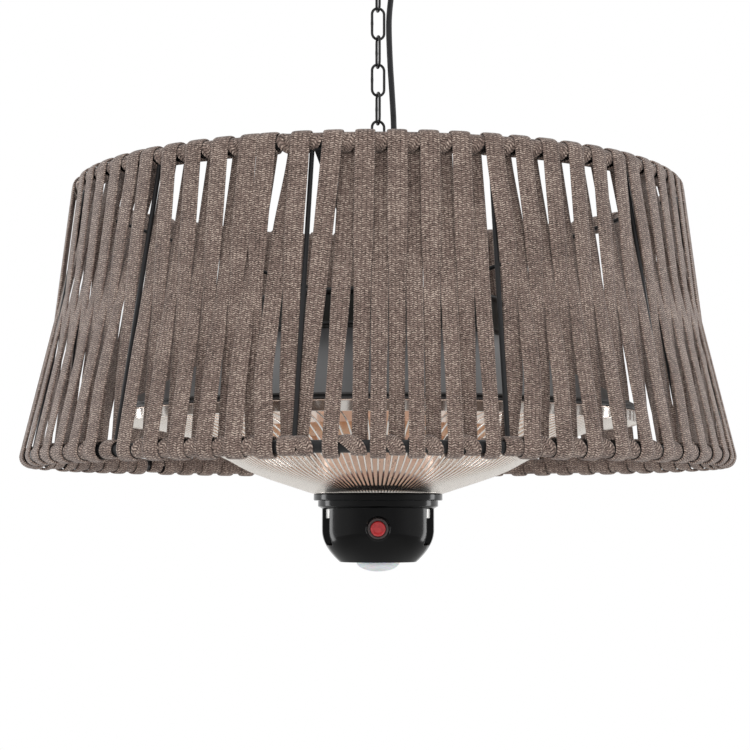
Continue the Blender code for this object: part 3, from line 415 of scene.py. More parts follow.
def softened(corners, reach, steps=5, closed=False):
    """A line through corners, each corner cut back by the reach and rounded with a parabola."""
    corners = np.asarray(corners, float)
    before, after = np.roll(corners, 1, axis=0), np.roll(corners, -1, axis=0)

    def cut_back(other):
        """The reach along each side, or a little under half of a short one."""
        away = other - corners
        length = np.linalg.norm(away, axis=1, keepdims=True)
        return corners + away / np.maximum(length, 1e-9) * np.minimum(reach, SHORT_SIDE_SHARE * length)

    start, end = cut_back(before)[:, None], cut_back(after)[:, None]
    share = np.linspace(0.0, 1.0, steps)[None, :, None]
    curve = (1 - share) ** 2 * start + 2 * share * (1 - share) * corners[:, None] + share**2 * end
    if closed:
        return curve.reshape(-1, corners.shape[1])
    inner = curve[1:-1].reshape(-1, corners.shape[1])
    return np.concatenate([corners[:1], inner, corners[-1:]])


def through(points, steps):
    """A smooth line through points: cubic stretches whose slope at a point is half the step past it."""
    points = np.asarray(points, float)
    first, last = 2 * points[0] - points[1], 2 * points[-1] - points[-2]
    held = np.concatenate([[first], points, [last]])
    share = (np.arange(steps) / steps)[None, :, None]
    p0, p1, p2, p3 = (held[i : len(held) - 3 + i, None] for i in range(4))
    m1, m2 = (p2 - p0) / 2, (p3 - p1) / 2
    line = (
        (2 * share**3 - 3 * share**2 + 1) * p1
        + (share**3 - 2 * share**2 + share) * m1
        + (3 * share**2 - 2 * share**3) * p2
        + (share**3 - share**2) * m2
    )
    return np.concatenate([line.reshape(-1, points.shape[1]), points[-1:]])


def round_section(radius, sides, height=None):
    """An ellipse, or a circle where no second radius is given."""
    turn = 2 * np.pi * np.arange(sides) / sides
    return np.stack([radius * np.cos(turn), (height or radius) * np.sin(turn)], axis=-1)


def plate_section(width, thickness, rounding, steps=4):
    """A rectangle with rounded corners, its width along the first axis."""
    w, t = width / 2, thickness / 2
    return softened([(w, -t), (w, t), (-w, t), (-w, -t)], rounding, steps, closed=True)


def turned(outline, steps=96, closed=False, centre=(0.0, 0.0)):
    """Each (radius, height) of an outline carried round a vertical axis."""
    outline = np.asarray(outline, float)
    azimuth = 360.0 * np.arange(steps) / steps
    points = around(outline[:, :1], azimuth[None, :], outline[:, 1:])
    points[..., 0] += centre[0]
    points[..., 1] += centre[1]
    return {"points": points, "rows_closed": closed, "columns_closed": True}


def spun(corners, rounding=EDGE, steps=96, closed=False, centre=(0.0, 0.0)):
    """An outline with rounded corners carried round a vertical axis."""
    return turned(softened(corners, rounding, closed=closed), steps, closed, centre)


def stepped(radii, heights):
    """The outline of a stepped shaft: each radius holds from one height to the next, and the outline begins
    and ends on the axis."""
    corners = [(0.0, heights[0])]
    for radius, start, end in zip(radii, heights, heights[1:]):
        corners += [(radius, start), (radius, end)]
    return [*corners, (0.0, heights[-1])]


def band(outer, inner, top, bottom, rounding, steps, bend_steps=5):
    """A flat ring or a tube: a rectangle with rounded corners carried round the axis."""
    corners = [(outer, top), (outer, bottom), (inner, bottom), (inner, top)]
    return turned(softened(corners, rounding, bend_steps, closed=True), steps, closed=True)


def turned_forward(outline, z, steps=64, closed=False):
    """Each (radius, y) of an outline carried round the button's axis, which runs along Y."""
    outline = np.asarray(outline, float)
    turn = 2 * np.pi * np.arange(steps)[None, :] / steps
    radius, y = outline[:, :1], outline[:, 1:]
    points = np.stack(
        np.broadcast_arrays(radius * np.sin(turn), y, z + radius * np.cos(turn)), axis=-1
    )
    return {"points": points, "rows_closed": closed, "columns_closed": True}


def carried(path, section, across, scale=1.0, closed=False, uv=None, inside=False):
    """A section carried along a path. Its first axis follows 'across' made square to the path, and its
    second is square to both. An open path is closed by a point at each end."""
    path = np.asarray(path, float)
    step = np.roll(path, -1, axis=0) - np.roll(path, 1, axis=0) if closed else np.gradient(path, axis=0)
    ahead = step / np.linalg.norm(step, axis=1, keepdims=True)
    across = np.broadcast_to(np.asarray(across, float), path.shape)
    across = across - (across * ahead).sum(axis=1, keepdims=True) * ahead
    across = across / np.linalg.norm(across, axis=1, keepdims=True)
    normal = np.cross(ahead, across)
    scale = np.asarray(scale, float)
    if scale.ndim == 1:
        scale = np.stack([scale, scale], axis=-1)
    section = np.broadcast_to(section, (len(path), *section.shape)) * (
        scale[:, None, :] if scale.ndim == 2 else scale
    )
    points = path[:, None] + section[..., :1] * across[:, None] + section[..., 1:] * normal[:, None]
    if not closed:
        ends = np.ones((1, section.shape[1], 1))
        points = np.concatenate([path[:1, None] * ends, points, path[-1:, None] * ends])
        if uv is not None:
            uv = np.concatenate([uv[:1], uv, uv[-1:]])
    return {"points": points, "rows_closed": closed, "columns_closed": True, "uv": uv, "inside": inside}


def block(size, centre, azimuth, rounding):
    """A block with rounded edges: a rounded rectangle carried upwards, drawn in at both ends."""
    wide, deep, high = size
    z = np.array([0.0, rounding * 0.3, rounding, high - rounding, high - rounding * 0.3, high]) - high / 2
    inset = np.array([rounding, rounding * 0.3, 0.0, 0.0, rounding * 0.3, rounding])
    path = np.asarray(centre, float) + np.stack([0 * z, 0 * z, z], axis=-1)
    scale = np.stack([1 - 2 * inset / wide, 1 - 2 * inset / deep], axis=-1)
    along = sideways(azimuth)
    return carried(path, plate_section(wide, deep, rounding), along, scale=scale)


def quads_of(rows, columns, rows_closed, columns_closed):
    """The corner numbers of each quad of a grid of rows and columns."""
    i = np.arange(rows if rows_closed else rows - 1)[:, None]
    j = np.arange(columns if columns_closed else columns - 1)[None, :]
    below, beside = (i + 1) % rows, (j + 1) % columns
    corners = [i * columns + j, i * columns + beside, below * columns + beside, below * columns + j]
    return np.stack(np.broadcast_arrays(*corners), axis=-1).reshape(-1, 4)


def facing_out(points, quads):
    """True where a closed grid's faces point outwards: the volume that they enclose is positive."""
    p = (points - points.mean(axis=0))[quads]
    halves = np.cross(p[:, 1], p[:, 2]) + np.cross(p[:, 2], p[:, 3])
    return (p[:, 0] * halves).sum() > 0.0


def mesh_of(name, patches, sharp_angle):
    """One mesh of several grids, each turned to face outwards, with poles and end points merged."""
    points, quads, uvs, count = [], [], [], 0
    for patch in patches:
        grid = patch["points"]
        flat = grid.reshape(-1, 3)
        corners = quads_of(*grid.shape[:2], patch["rows_closed"], patch["columns_closed"])
        if facing_out(flat, corners) == bool(patch.get("inside")):
            corners = corners[:, ::-1]
        points.append(flat)
        quads.append(corners + count)
        count += len(flat)
        if patch.get("uv") is not None:
            uvs.append(patch["uv"].reshape(-1, 2))
    points, quads = np.concatenate(points), np.concatenate(quads)
    mesh = bpy.data.meshes.new(name)
    mesh.vertices.add(len(points))
    mesh.vertices.foreach_set("co", points.astype(np.float32).ravel())
    mesh.loops.add(quads.size)
    mesh.loops.foreach_set("vertex_index", quads.astype(np.int32).ravel())
    mesh.polygons.add(len(quads))
    mesh.polygons.foreach_set("loop_start", np.arange(0, quads.size, 4, dtype=np.int32))
    mesh.update(calc_edges=True)
    if uvs:
        layer = mesh.uv_layers.new(name="strap")
        layer.data.foreach_set("uv", np.concatenate(uvs)[quads.ravel()].astype(np.float32).ravel())
    tidy = bmesh.new()
    tidy.from_mesh(mesh)
    bmesh.ops.remove_doubles(tidy, verts=tidy.verts, dist=MERGE_DISTANCE)
    tidy.to_mesh(mesh)
    tidy.free()
    mesh.shade_smooth()
    mesh.set_sharp_from_angle(angle=math.radians(sharp_angle))
    return mesh


def new_object(name, patches, sharp_angle=SHARP_ANGLE):
    """An object in the scene with the mesh of some grids."""
    made = bpy.data.objects.new(name, mesh_of(name, patches, sharp_angle))
    bpy.context.scene.collection.objects.link(made)
    return made


def dress(name, patches, body, finish_name, stands_for=(), sharp_angle=SHARP_ANGLE):
    """A finished piece that rides on a body and stands for some solids, with its finish as its one
    material."""
    made = new_object(name, patches, sharp_angle)
    made.data.materials.append(finish(finish_name))
    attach(made, body)
    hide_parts(*stands_for)
    return made


def keep_solid(node, finish_name):
    """A solid whose own shape shows, with its finish."""
    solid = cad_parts[node]
    solid.data.materials.clear()
    solid.data.materials.append(finish(finish_name))


# Finishes


def add(tree, kind, inputs=(), **settings):
    """A new shader node's outputs. Each input is a constant or the socket that feeds it."""
    made = tree.nodes.new("ShaderNode" + kind)
    for key, value in settings.items():
        setattr(made, key, value)
    for socket, value in dict(inputs).items():
        if isinstance(value, bpy.types.NodeSocket):
            tree.links.new(value, made.inputs[socket])
        else:
            made.inputs[socket].default_value = value
    return made.outputs


def math_node(tree, operation, *values):
    """The result of a Math node on one to three values."""
    return add(tree, "Math", dict(enumerate(values)), operation=operation)[0]


def spread(tree, value, low, high):
    """A value between nought and one spread over another range."""
    return add(tree, "MapRange", {"Value": value, "To Min": low, "To Max": high})["Result"]


def ramp(tree, value, stops):
    """Colours at shares of a value's range."""
    made = tree.nodes.new("ShaderNodeValToRGB")
    tree.links.new(value, made.inputs["Fac"])
    elements = made.color_ramp.elements
    while len(elements) < len(stops):
        elements.new(0.5)
    for element, (place, colour) in zip(elements, stops):
        element.position = place
        element.color = (*colour, 1.0)
    return made.outputs["Color"]


def principled(name, colour, roughness, metallic=0.0, sockets=()):
    """A new Principled material's node tree and shader, with its constants on the shader's sockets."""
    made = bpy.data.materials.new(name)
    made.use_nodes = True
    shader = made.node_tree.nodes["Principled BSDF"]
    constants = {
        "Base Color": (*colour, 1.0),
        "Roughness": roughness,
        "Metallic": metallic,
        **dict(sockets),
    }
    for socket, value in constants.items():
        shader.inputs[socket].default_value = value
    return made.node_tree, shader


def noise_on(tree, scale, detail=3.0, stretch=(1.0, 1.0, 1.0), roughness=0.5):
    """Noise on the object's own coordinates, in features to the metre, stretched along the axes."""
    place = add(tree, "Mapping", {"Vector": add(tree, "TexCoord")["Object"], "Scale": stretch})["Vector"]
    inputs = {"Vector": place, "Scale": scale, "Detail": detail, "Roughness": roughness}
    return add(tree, "TexNoise", inputs)["Fac"]


def relief(tree, shader, height, depth, strength=1.0):
    """A bump of a depth in metres on a shader's normal."""
    bump = add(tree, "Bump", {"Height": height, "Distance": depth, "Strength": strength})["Normal"]
    tree.links.new(bump, shader.inputs["Normal"])


def wear(tree, shader, scale, low, high, stretch=(1.0, 1.0, 1.0)):
    """Roughness that drifts between two values over the surface."""
    patchy = spread(tree, noise_on(tree, scale, 5.0, stretch), low, high)
    tree.links.new(patchy, shader.inputs["Roughness"])


def tint(tree, shader, value, dark, light):
    """The base colour between two colours by a value."""
    colour = ramp(tree, value, [(0.3, dark), (0.7, light)])
    tree.links.new(colour, shader.inputs["Base Color"])


def painted_black(name):
    """Black powder coat: a fine orange-peel bump and uneven gloss."""
    tree, shader = principled(name, (0.012, 0.012, 0.013), 0.42)
    shader.inputs["Specular IOR Level"].default_value = 0.4
    wear(tree, shader, 35.0, 0.34, 0.52)
    relief(tree, shader, noise_on(tree, 1400.0), 0.00006)


def chain_black(name):
    """Satin black on steel links, rubbed a little lighter in patches."""
    tree, shader = principled(name, (0.01, 0.01, 0.011), 0.36)
    shader.inputs["Specular IOR Level"].default_value = 0.45
    tint(tree, shader, noise_on(tree, 220.0, 5.0), (0.007, 0.007, 0.008), (0.022, 0.021, 0.02))
    wear(tree, shader, 160.0, 0.26, 0.48)
    relief(tree, shader, noise_on(tree, 2600.0), 0.00005)


def plain_steel(name):
    """Bright rolled steel with a fine grain across it."""
    tree, shader = principled(name, (0.66, 0.65, 0.63), 0.28, 1.0)
    wear(tree, shader, 420.0, 0.2, 0.38, (1.0, 1.0, 0.08))
    relief(tree, shader, noise_on(tree, 1800.0, 2.0, (1.0, 1.0, 0.06)), 0.00003)


def polished_steel(name):
    """Polished sheet: long soft waves in it and faint rubbing marks. Its bright, warm tint is partly a
    painted reflection of the amber tube.
    """
    tree, shader = principled(name, (0.88, 0.83, 0.78), 0.12, 1.0)
    wear(tree, shader, 60.0, 0.08, 0.2)
    relief(tree, shader, noise_on(tree, 18.0, 2.0), 0.0006, 0.6)


def bright_mirror(name):
    """Bright reflector sheet with long soft waves and a satin touch. Its warm tint is partly a painted
    reflection of the amber tube.
    """
    tree, shader = principled(name, (1.0, 0.85, 0.76), 0.16, 0.8)
    wear(tree, shader, 60.0, 0.1, 0.26)
    relief(tree, shader, noise_on(tree, 18.0, 2.0), 0.0006, 0.6)


def mirror_painted_glow(name):
    """Bright sheet tinted straw and peach: a painted reflection of the amber tube's glow."""
    tree, shader = principled(name, (1.0, 0.74, 0.6), 0.3, 0.5)
    tint(tree, shader, noise_on(tree, 30.0), (1.0, 0.68, 0.52), (1.0, 0.8, 0.68))
    wear(tree, shader, 60.0, 0.2, 0.36)
    relief(tree, shader, noise_on(tree, 18.0, 2.0), 0.0006, 0.6)


def cable_rubber(name):
    """Dark grey rubber with a fine matt grain."""
    tree, shader = principled(name, (0.017, 0.017, 0.019), 0.6)
    wear(tree, shader, 90.0, 0.52, 0.7)
    relief(tree, shader, noise_on(tree, 3200.0), 0.00005)


def cap_paint(name):
    """Dark grey-green enamel with a fine texture."""
    tree, shader = principled(name, (0.045, 0.05, 0.047), 0.4)
    tint(tree, shader, noise_on(tree, 28.0), (0.04, 0.045, 0.042), (0.055, 0.06, 0.057))
    relief(tree, shader, noise_on(tree, 1500.0), 0.00008)


def hood_paint(name):
    """Mid-grey enamel, a little uneven, on spun sheet."""
    tree, shader = principled(name, (0.1, 0.098, 0.1), 0.36)
    tint(tree, shader, noise_on(tree, 16.0), (0.09, 0.088, 0.09), (0.115, 0.112, 0.114))
    relief(tree, shader, noise_on(tree, 1500.0), 0.00007)


def amber_quartz(name):
    """Clear amber quartz glass, faintly streaked along the draw. Its amber is the glass's own, painted
    lighter to stand in for the tube's glow.
    """
    sockets = {"Transmission Weight": 0.2, "IOR": 1.46}
    tree, shader = principled(name, (1.0, 0.62, 0.4), 0.08, 0.0, sockets)
    streak = noise_on(tree, 240.0)
    tint(tree, shader, streak, (0.98, 0.56, 0.32), (1.0, 0.68, 0.48))
    relief(tree, shader, streak, 0.00004)


def coil_wire(name):
    """Oxidised resistance wire, brown-grey and warm."""
    tree, shader = principled(name, (0.32, 0.2, 0.13), 0.42, 1.0)
    tint(tree, shader, noise_on(tree, 700.0), (0.24, 0.14, 0.09), (0.42, 0.27, 0.18))


def ceramic(name):
    """Off-white fired ceramic, matt, with fine pits."""
    tree, shader = principled(name, (0.72, 0.69, 0.62), 0.7)
    tint(tree, shader, noise_on(tree, 130.0), (0.64, 0.61, 0.54), (0.76, 0.73, 0.67))
    relief(tree, shader, noise_on(tree, 1700.0), 0.00012)


def gloss_black(name):
    """Moulded gloss black plastic with the faint waves of a moulding."""
    sockets = {"Specular IOR Level": 0.18}
    tree, shader = principled(name, (0.0015, 0.0015, 0.0018), 0.1, 0.0, sockets)
    wear(tree, shader, 40.0, 0.1, 0.2)
    relief(tree, shader, noise_on(tree, 70.0), 0.00006, 0.5)


def satin_grey(name):
    """Dark grey satin plastic, a little reddish, with a fine grain."""
    tree, shader = principled(name, (0.07, 0.052, 0.052), 0.45)
    tint(tree, shader, noise_on(tree, 400.0), (0.055, 0.04, 0.04), (0.085, 0.064, 0.064))
    relief(tree, shader, noise_on(tree, 2200.0), 0.00004)


def button_red(name):
    """Clear red plastic, soft inside."""
    sockets = {"Coat Weight": 0.6, "Coat Roughness": 0.08}
    tree, shader = principled(name, (0.52, 0.02, 0.026), 0.35, 0.0, sockets)
    tint(tree, shader, noise_on(tree, 260.0), (0.42, 0.014, 0.02), (0.62, 0.03, 0.035))
    relief(tree, shader, noise_on(tree, 1200.0), 0.00004)


def lens_white(name):
    """Milky moulded plastic that lets some light in."""
    sockets = {"Subsurface Weight": 0.35, "Subsurface Scale": 0.004}
    tree, shader = principled(name, (0.8, 0.8, 0.84), 0.3, 0.0, sockets)
    tint(tree, shader, noise_on(tree, 120.0), (0.82, 0.82, 0.86), (0.89, 0.89, 0.92))
    relief(tree, shader, noise_on(tree, 900.0), 0.00006)


def board_green(name):
    """Green laminate with a faint weave."""
    tree, shader = principled(name, (0.015, 0.11, 0.04), 0.4)
    tint(tree, shader, noise_on(tree, 1100.0), (0.012, 0.09, 0.032), (0.02, 0.14, 0.052))


def terminal_white(name):
    """Off-white terminal plastic with a fine grain."""
    tree, shader = principled(name, (0.7, 0.7, 0.66), 0.45)
    tint(tree, shader, noise_on(tree, 300.0), (0.64, 0.64, 0.6), (0.74, 0.74, 0.7))
    relief(tree, shader, noise_on(tree, 1500.0), 0.00006)


def woven_strap(name):
    """A heathered flat weave. Ribs run across the strap in three or four columns whose slope turns from
    one to the next, as (distance along plus or minus distance across) over the rib's pitch. Each short
    stretch of yarn has its own tone, and its fibres add a finer grain. Painted shade darkens each rib's
    foot and the seams between columns, and painted light brightens the crests."""
    shade = bpy.context.scene.heater_shade
    tree, shader = principled(name, shade.strap_colour, 0.9)
    shader.inputs["Sheen Weight"].default_value = 0.25
    shader.inputs["Sheen Roughness"].default_value = 0.5
    shader.inputs["Specular IOR Level"].default_value = 0.2
    place = add(tree, "UVMap", uv_map="strap")["UV"]
    split = add(tree, "SeparateXYZ", {"Vector": place})
    across, along = split["X"], split["Y"]
    column, pitch = shade.rib_column, shade.rib_pitch
    slant = math_node(tree, "PINGPONG", across, column)
    rib = math_node(tree, "DIVIDE", math_node(tree, "MULTIPLY_ADD", slant, RIB_SLANT, along), pitch)
    wave = math_node(tree, "SINE", math_node(tree, "MULTIPLY", rib, 2 * math.pi))
    wave = math_node(tree, "MULTIPLY_ADD", wave, 0.5, 0.5)
    seam = math_node(tree, "DIVIDE", math_node(tree, "PINGPONG", across, column / 2), column * SEAM_SHARE)
    seam = math_node(tree, "MINIMUM", seam, 1.0)
    yarn_across = math_node(tree, "FLOOR", math_node(tree, "DIVIDE", across, column / YARNS_IN_COLUMN))
    yarn_along = math_node(tree, "FLOOR", math_node(tree, "MULTIPLY", rib, YARNS_IN_RIB))
    cell = add(tree, "CombineXYZ", {"X": yarn_across, "Y": yarn_along})["Vector"]
    yarn = add(tree, "TexWhiteNoise", {"Vector": cell}, noise_dimensions="2D")["Value"]
    fibre = noise_on(tree, 1500.0, 4.0, roughness=0.7)
    drift = noise_on(tree, 45.0)
    mixed = math_node(tree, "MULTIPLY", yarn, YARN_SHARE)
    # The ribs' share paints light onto their crests
    for value, share in ((fibre, FIBRE_SHARE), (drift, DRIFT_SHARE), (wave, RIB_PAINTED_LIGHT_SHARE)):
        mixed = math_node(tree, "MULTIPLY_ADD", value, share, mixed)
    dark, middle, light = shade.fleck_dark, shade.strap_colour, shade.fleck_light
    colour = ramp(tree, mixed, tuple(zip(FLECK_PLACES, (dark, middle, middle, light))))
    # Painted shade: the colour darkens at each rib's foot and along the seams, and lightens on the crests
    crest = math_node(tree, "MULTIPLY", wave, seam)
    shadow = math_node(tree, "MULTIPLY_ADD", crest, CREST_PAINTED_LIGHT, FOOT_PAINTED_LIGHT)
    layers = {"Fac": 1.0, "Color1": colour, "Color2": shadow}
    shaded = add(tree, "MixRGB", layers, blend_type="MULTIPLY")["Color"]
    tree.links.new(shaded, shader.inputs["Base Color"])
    height = math_node(tree, "MULTIPLY_ADD", fibre, 0.5, math_node(tree, "MULTIPLY", wave, seam))
    relief(tree, shader, height, 0.0003, 0.8)


FINISHES = {
    maker.__name__: maker
    for maker in (
        painted_black,
        chain_black,
        plain_steel,
        polished_steel,
        bright_mirror,
        mirror_painted_glow,
        cable_rubber,
        cap_paint,
        hood_paint,
        amber_quartz,
        coil_wire,
        ceramic,
        gloss_black,
        satin_grey,
        button_red,
        lens_white,
        board_green,
        terminal_white,
        woven_strap,
    )
}


def finish(name):
    """The material of that name, made at its first use."""
    label = f"{name}_finish"
    if label not in bpy.data.materials:
        FINISHES[name](label)
    return bpy.data.materials[label]


# Sizes and colours that a user would change


class ShadeSettings(bpy.types.PropertyGroup):
    """The wound strap: its section, its yarn and weave, and the spacing of its runs"""

    strap_width: FloatProperty(
        name="Strap width", description="Width of the wound strap", default=0.0150, unit="LENGTH"
    )
    strap_thickness: FloatProperty(
        name="Strap thickness", description="Thickness of the wound strap", default=0.0022, unit="LENGTH"
    )
    strap_colour: FloatVectorProperty(
        name="Strap", description="Main colour of the yarn", subtype="COLOR", default=(0.236, 0.169, 0.143)
    )
    fleck_dark: FloatVectorProperty(
        name="Dark flecks",
        description="Colour of the dark yarn",
        subtype="COLOR",
        default=(0.062, 0.044, 0.036),
    )
    fleck_light: FloatVectorProperty(
        name="Light flecks",
        description="Colour of the light yarn",
        subtype="COLOR",
        default=(0.56, 0.45, 0.38),
    )
    rib_pitch: FloatProperty(
        name="Rib pitch", description="Distance between the weave's ribs", default=0.0018, unit="LENGTH"
    )
    rib_column: FloatProperty(
        name="Rib column", description="Width of one column of ribs", default=0.0034, unit="LENGTH"
    )
    spacing: FloatProperty(
        name="Spacing in short bays",
        description="Azimuth from one run to the next, in degrees",
        default=2.6166,
    )
    top_spacing: FloatProperty(
        name="Spacing at the top",
        description="Azimuth from run to run in a full bay, in degrees",
        default=2.606,
    )
    bottom_spacing: FloatProperty(
        name="Spacing at the bottom",
        description="Azimuth from run to run in a full bay, in degrees",
        default=2.49,
    )


class HeaterSettings(bpy.types.PropertyGroup):
    """The heater under the shade"""

    grille_wires: IntProperty(
        name="Grille wires", description="Number of radial wires in the grille", default=144, min=48
    )


class StudioSettings(bpy.types.PropertyGroup):
    """The camera, and how strongly the world and the lamps light the heater"""

    camera_distance: FloatProperty(
        name="Camera distance", description="From the axis to the camera", default=1.7456, unit="LENGTH"
    )
    camera_height: FloatProperty(
        name="Camera height", description="Height of the camera in the frame", default=-0.547, unit="LENGTH"
    )
    camera_tilt: FloatProperty(
        name="Camera tilt",
        description="How far the camera looks up",
        default=math.radians(4.354),
        subtype="ANGLE",
    )
    focal_length: FloatProperty(
        name="Focal length", description="On a 36 mm sensor", default=90.33, unit="CAMERA"
    )
    world_strength: FloatProperty(
        name="World", description="Strength of the world on matt surfaces", default=0.62
    )
    front_gloss: FloatProperty(
        name="Front in gloss", description="Strength of the world in front, as gloss sees it", default=0.6
    )
    front_power: FloatProperty(
        name="Front lamp", description="Power of the front softbox", default=26.0, unit="POWER"
    )
    side_power: FloatProperty(
        name="Side lamps", description="Power of each side softbox", default=9.0, unit="POWER"
    )


class StagePiece(bpy.types.Operator):
    """Camera, floor, world and the three soft lamps"""

    bl_idname = "heater.stage"
    bl_label = "Camera, floor and light"

    def execute(self, context):
        studio = context.scene.heater_studio
        make_camera(studio)
        make_world(studio)
        make_floor()
        make_lamps(studio)
        context.scene.view_settings.view_transform = "Standard"
        return {"FINISHED"}


def make_camera(studio):
    """A camera in front of the heater and a little under it, looking up."""
    lens = bpy.data.cameras.new("camera")
    lens.lens = studio.focal_length
    lens.sensor_width = SENSOR_WIDTH
    lens.shift_x = CAMERA_SHIFT
    camera = bpy.data.objects.new("camera", lens)
    camera.location = (0.0, -studio.camera_distance, studio.camera_height)
    camera.rotation_euler = (math.pi / 2 + studio.camera_tilt, 0.0, 0.0)
    bpy.context.scene.collection.objects.link(camera)
    bpy.context.scene.camera = camera


def seen_straight(tree):
    """One on camera, glossy and transmission rays, and nought on the rest."""
    path = add(tree, "LightPath")
    found = math_node(tree, "MAXIMUM", path["Is Camera Ray"], path["Is Glossy Ray"])
    return math_node(tree, "MAXIMUM", found, path["Is Transmission Ray"])


def make_world(studio):
    """White where the camera, gloss and glass see it, and a plain soft light elsewhere. In front, gloss
    sees a dimmer world."""
    world = bpy.data.worlds.new("studio")
    world.use_nodes = True
    tree = world.node_tree
    background = tree.nodes["Background"]
    background.inputs["Color"].default_value = (1.0, 1.0, 1.0, 1.0)
    strength = spread(tree, seen_straight(tree), studio.world_strength, 1.0)
    direction = add(tree, "SeparateXYZ", {"Vector": add(tree, "TexCoord")["Generated"]})["Y"]
    fade = {"Value": direction, "From Min": FRONT_FADE[0], "From Max": FRONT_FADE[1]}
    in_front = add(tree, "MapRange", fade)["Result"]
    gloss = spread(tree, in_front, studio.front_gloss, 1.0)
    not_gloss = math_node(tree, "SUBTRACT", 1.0, add(tree, "LightPath")["Is Glossy Ray"])
    dimmed = math_node(tree, "MULTIPLY", strength, math_node(tree, "MAXIMUM", gloss, not_gloss))
    tree.links.new(dimmed, background.inputs["Strength"])
    bpy.context.scene.world = world


def make_floor():
    """A plain pale floor under the heater, below the camera's view."""
    half = FLOOR_SIZE / 2
    side = np.linspace(-half, half, FLOOR_LINES)
    x, y = np.meshgrid(side, side, indexing="ij")
    mesh = bpy.data.meshes.new("floor")
    points = np.stack([x, y, np.full_like(x, FLOOR_Z)], axis=-1).reshape(-1, 3)
    mesh.from_pydata(points, [], quads_of(len(side), len(side), False, False).tolist())
    floor = bpy.data.objects.new("floor", mesh)
    bpy.context.scene.collection.objects.link(floor)
    tree, shader = principled("floor_pale", (0.82, 0.82, 0.81), 0.7)
    tint(tree, shader, noise_on(tree, 3.0), (0.81, 0.81, 0.8), (0.83, 0.83, 0.82))
    mesh.materials.append(bpy.data.materials["floor_pale"])


def make_lamps(studio):
    """A large weak softbox in front, and two tall ones beside and a little behind the heater. Gloss doesn't
    show the front one."""
    aim = Vector(LAMPS_AIM)
    for name, azimuth, distance, rise, size in SOFTBOXES:
        in_front = azimuth == 0.0
        light = bpy.data.lights.new(name, "AREA")
        light.shape = "RECTANGLE"
        light.size, light.size_y = size
        light.energy = studio.front_power if in_front else studio.side_power
        lamp = bpy.data.objects.new(name, light)
        lamp.location = aim + Vector(around(distance, azimuth, rise))
        lamp.rotation_euler = (aim - lamp.location).to_track_quat("-Z", "Y").to_euler()
        lamp.visible_camera = False
        lamp.visible_glossy = not in_front
        bpy.context.scene.collection.objects.link(lamp)


class CablePiece(bpy.types.Operator):
    """The mains cable in its two stretches: a circle carried along a smooth line through the route's points"""

    bl_idname = "heater.cable"
    bl_label = "Mains cable"

    def execute(self, context):
        radius = CABLE_RADIUS
        lower_route = [*LOWER_ROUTE, tuple(around(CAP_GLAND_RADIUS, CAP_GLAND_AZIMUTH, CABLE_END_Z))]
        upper_bend = (UPPER_ROUTE[0][2], UPPER_BEND_END_Z)
        lower_bend = (LOWER_BEND_START_Z, LOWER_BEND_END_Z)
        stretches = (
            ("upper", UPPER_ROUTE, 0, "ceiling", "chain", upper_bend),
            ("lower", lower_route, -1, "chain", "heater", lower_bend),
        )
        for name, route, exit_end, first, second, (start, end) in stretches:
            path = through(route, CABLE_STEPS)
            tube = carried(path, round_section(radius, 20), (1.0, 0.0, 0.0))
            cable = new_object(f"cable_{name}", [tube])
            cable.data.materials.append(finish("cable_rubber"))
            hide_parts(f"mains_cable_{name}")
            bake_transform(cable)
        return {"FINISHED"}


def gland(seat, pointing):
    """A tapered strain relief with ribs: its radius falls from foot to tip, less a row of round grooves."""
    share = np.linspace(0.0, 1.0, GLAND_RIB_STEPS * GLAND_RIBS + 1)
    rib = GLAND_RIB_DEPTH * (0.5 - 0.5 * np.cos(2 * np.pi * GLAND_RIBS * share))
    cone = GLAND_NECK_RADIUS + (GLAND_TIP_RADIUS - GLAND_NECK_RADIUS) * share
    radius = cone - rib * (1 - GLAND_RIB_FADE * share)
    height = GLAND_FOOT_HEIGHT + (GLAND_LENGTH - GLAND_FOOT_HEIGHT) * share
    foot = softened(stepped([GLAND_FOOT_RADIUS], [SEAT_GAP, GLAND_FOOT_HEIGHT]), EDGE)
    body = np.concatenate([foot[:-1], np.stack([radius, height], axis=-1), [(0.0, GLAND_LENGTH)]])
    body[:, 1] = seat[2] + pointing * body[:, 1]
    return turned(body, 40, centre=seat[:2])


